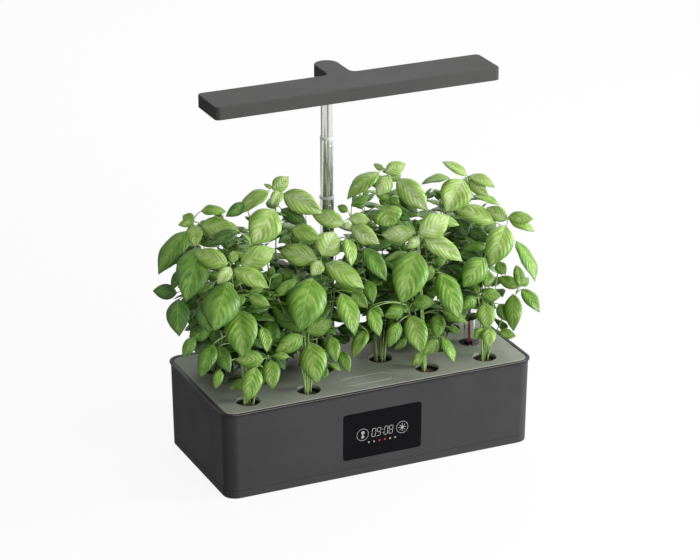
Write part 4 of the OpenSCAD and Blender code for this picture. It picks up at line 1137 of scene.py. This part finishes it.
def makeBasil():
    draw = random.Random(basil["seed"]).uniform
    large, small = makeLeafPattern(14, 6), makeLeafPattern(8, 4)
    plants = {name: {"points": [], "faces": [], "uv": [], "tone": [], "skin": []} for name in podNames}
    stems = [(name, path) for name, place in zip(podNames, podPlaces)
             for path in growStems(name, place, draw)]
    for name, path in stems:
        width = basil["stemWidth"] * draw(*basil["girth"]) / 2
        addTube(plants[name], path, np.linspace(width * 1.15, width * 0.45, len(path)), 8, draw(0.4, 0.9))
    growFront(plants, large, [(name, point) for name, path in stems for point in path[2:]], draw)
    count = sum(growPair(plants[name], small, *leaf, draw) for name, path in stems
                for leaf in pairedLeaves(path, draw))
    print("front leaves", len(frontLeaves), "paired leaves", count)
    for name, plant in plants.items():
        finishPlant(name, plant)


def finishPlant(name, plant):
    mesh = bpy.data.meshes.new("basilPlant" + name)
    mesh.from_pydata(np.vstack(plant["points"]) * toMetres, [], plant["faces"])
    piece = link(mesh.name, mesh)
    dress(piece, leafUpper, leafUnder, stemSkin)
    corners = np.empty(len(mesh.loops), dtype=np.int32)
    mesh.loops.foreach_get("vertex_index", corners)
    leafMap = mesh.uv_layers.new(name="leafMap")
    leafMap.data.foreach_set("uv", np.vstack(plant["uv"])[corners].ravel())
    tone = mesh.color_attributes.new(name="leafToneAndShade", type="FLOAT_COLOR", domain="POINT")
    tone.data.foreach_set("color", np.vstack(plant["tone"]).ravel())
    mesh.polygons.foreach_set("material_index", plant["skin"])
    mesh.polygons.foreach_set("use_smooth", [True] * len(mesh.polygons))
    mesh.update()
    handOver(piece, "root", ["basil_" + name])


peat = {"radius": 11.1, "middle": 103.6, "height": 2.2, "lump": 1.5, "lumpSize": 4.2, "highest": 3.2}


def makePeat():
    selectOnly()
    bpy.ops.mesh.primitive_ico_sphere_add(subdivisions=4, radius=1, location=(0, 0, 0))
    plug = bpy.context.object
    plugs = []
    for x, y in podPlaces:
        lump = copyTo(plug, 0, 0)
        for vert in lump.data.vertices:
            upward = max(vert.co.z, 0)
            here = vert.co * Vector((peat["radius"], peat["radius"], peat["height"]))
            bump = noise.fractal((here + Vector((x, y, 0))) / peat["lumpSize"], 0.8, 2.1, 4)
            here.z += bump * peat["lump"] * (0.4 + 0.6 * upward)
            vert.co = here.x, here.y, min(here.z, peat["highest"])
        lump.data.transform(Matrix.Translation((x, y, peat["middle"])))
        plugs.append(lump)
    bpy.data.objects.remove(plug)
    finishPiece(join("peat", *plugs), "peatPlugs", "root", [peatFibre], ["sponges"], 60, False)


makeHousing()
makePan()
makeRim()
makeDeck()
makeLid()
makePanel()
for name, tube in tubes.items():
    makeTube(name, tube)
for name, collar in collars.items():
    makeCollar(name, collar)
makeLamp()
makePeat()
makeBasil()


# CAD nodes that stay as they are, in better materials

kept = {siliconeRubber: ["rubber_feet"], tankPolypropylene: ["water_tank"], clearAcrylic: ["gauge_tube"],
        redAcrylic: ["float_rod"], floatFoam: ["float_block"], filterFoam: ["pump_filter"],
        circuitBoard: ["display_board", "main_board"], trayAbs: ["lamp_tray"],
        ledBoardAluminium: ["led_board"], whiteAbs: ["led_chips"],
        zincSteel: ["base_screws", "lid_pin", "lower_spring", "upper_spring", "lamp_screws"],
        blackPolypropylene: ["gauge_plug", "pump_body", "dc_jack", "mast_socket", "neck_socket"]
        + ["basket_" + name for name in podNames]}
for material, names in kept.items():
    for name in names:
        dress(nodes[name], material)
print("CAD nodes dressed")


# studio

studio = {"sky": 0.3, "floor": 20.0, "bounce": "#646464", "glow": 0.9,
          # power in watts, size and place in metres
          "lamps": {"key": (58, 1.0, (2.0, -0.8, 0.8)), "fill": (24, 1.0, (0.4, -2.3, 1.2)),
                    "back": (14, 1.2, (0.8, 1.9, 1.6))},
          "target": (0, 0, 0.2),
          # grey cards that only mirrors see: from and to in degrees round the mast, distance, height, grey
          "cards": ((150, 180, 0.85, 0.3, 0.45), (-179, -122, 0.85, 0.75, 0.28),
                    (-19, 12, 0.85, 0.75, 0.25))}
white = linear("#ffffff")


def addLamp(name, power, size, place):
    data = bpy.data.lights.new(name, "AREA")
    data.energy, data.size = power, size
    aim(link(name, data), place, Vector(studio["target"]) - Vector(place))


def emptyTree(owner):
    owner.use_nodes = True
    owner.node_tree.nodes.clear()
    return owner.node_tree


def seenRays(tree):
    # 1 for what the camera sees, also in a mirror and through glass
    rays = addNode(tree, "LightPath").outputs
    seen = addNode(tree, "Math", {0: rays["Is Camera Ray"], 1: rays["Is Glossy Ray"]}, operation="MAXIMUM")
    return addNode(tree, "Math", {0: seen, 1: rays["Is Transmission Ray"]}, operation="MAXIMUM")


def roundMast(place):
    # degrees round the mast, from the front, of a place in metres
    return math.degrees(math.atan2(place.x, mast["y"] * toMetres - place.y))


def addCard(name, start, end, away, high, value):
    # a curved upright card round the mast, seen in mirrors alone
    selectOnly()
    bpy.ops.mesh.primitive_cylinder_add(vertices=72, radius=away, depth=high, end_fill_type="NOTHING",
                                        location=(0, mast["y"] * toMetres, high / 2))
    card = settle(name)
    edit(card)
    pick("FACE", lambda face: not start <= roundMast(face.calc_center_median()) <= end)
    bpy.ops.mesh.delete(type="FACE")
    leaveEdit()
    material = bpy.data.materials.new(name)
    tree = emptyTree(material)
    glow = addNode(tree, "Emission", {"Color": white, "Strength": value})
    addNode(tree, "OutputMaterial", {"Surface": glow})
    dress(card, material)
    card.visible_camera = card.visible_diffuse = card.visible_shadow = card.visible_transmission = False


def makeStudio():
    world = bpy.data.worlds.new("studio")
    bpy.context.scene.world = world
    tree = emptyTree(world)
    sky = addNode(tree, "Background", {"Color": white, "Strength": studio["sky"]})
    backdrop = addNode(tree, "Background", {"Color": white, "Strength": 1.0})
    mixed = addNode(tree, "MixShader", {0: seenRays(tree), 1: sky, 2: backdrop})
    addNode(tree, "OutputWorld", {"Surface": mixed})

    selectOnly()
    bpy.ops.mesh.primitive_plane_add(size=studio["floor"], location=(0, 0, 0))
    floor = settle("studioFloor")
    material = bpy.data.materials.new("paperSweepWhite")
    tree = emptyTree(material)
    seen = seenRays(tree)
    # white where it is seen, greyer in the light that it throws back at the walls
    colour = addNode(tree, "Mix", {0: seen, 6: linear(studio["bounce"]), 7: white}, data_type="RGBA")
    paper = addNode(tree, "BsdfDiffuse", {"Color": colour.outputs[2]})
    glow = addNode(tree, "Emission", {"Color": white, "Strength": 1.0})
    share = addNode(tree, "Math", {0: seen, 1: studio["glow"]}, operation="MULTIPLY")
    mixed = addNode(tree, "MixShader", {0: share, 1: paper, 2: glow})
    addNode(tree, "OutputMaterial", {"Surface": mixed})
    dress(floor, material)
    for number, card in enumerate(studio["cards"]):
        addCard("greyCard%d" % number, *card)
    for name, lampRow in studio["lamps"].items():
        addLamp(name + "Light", *lampRow)
    bpy.context.scene.view_settings.view_transform = "Standard"


makeStudio()
print("studio set")
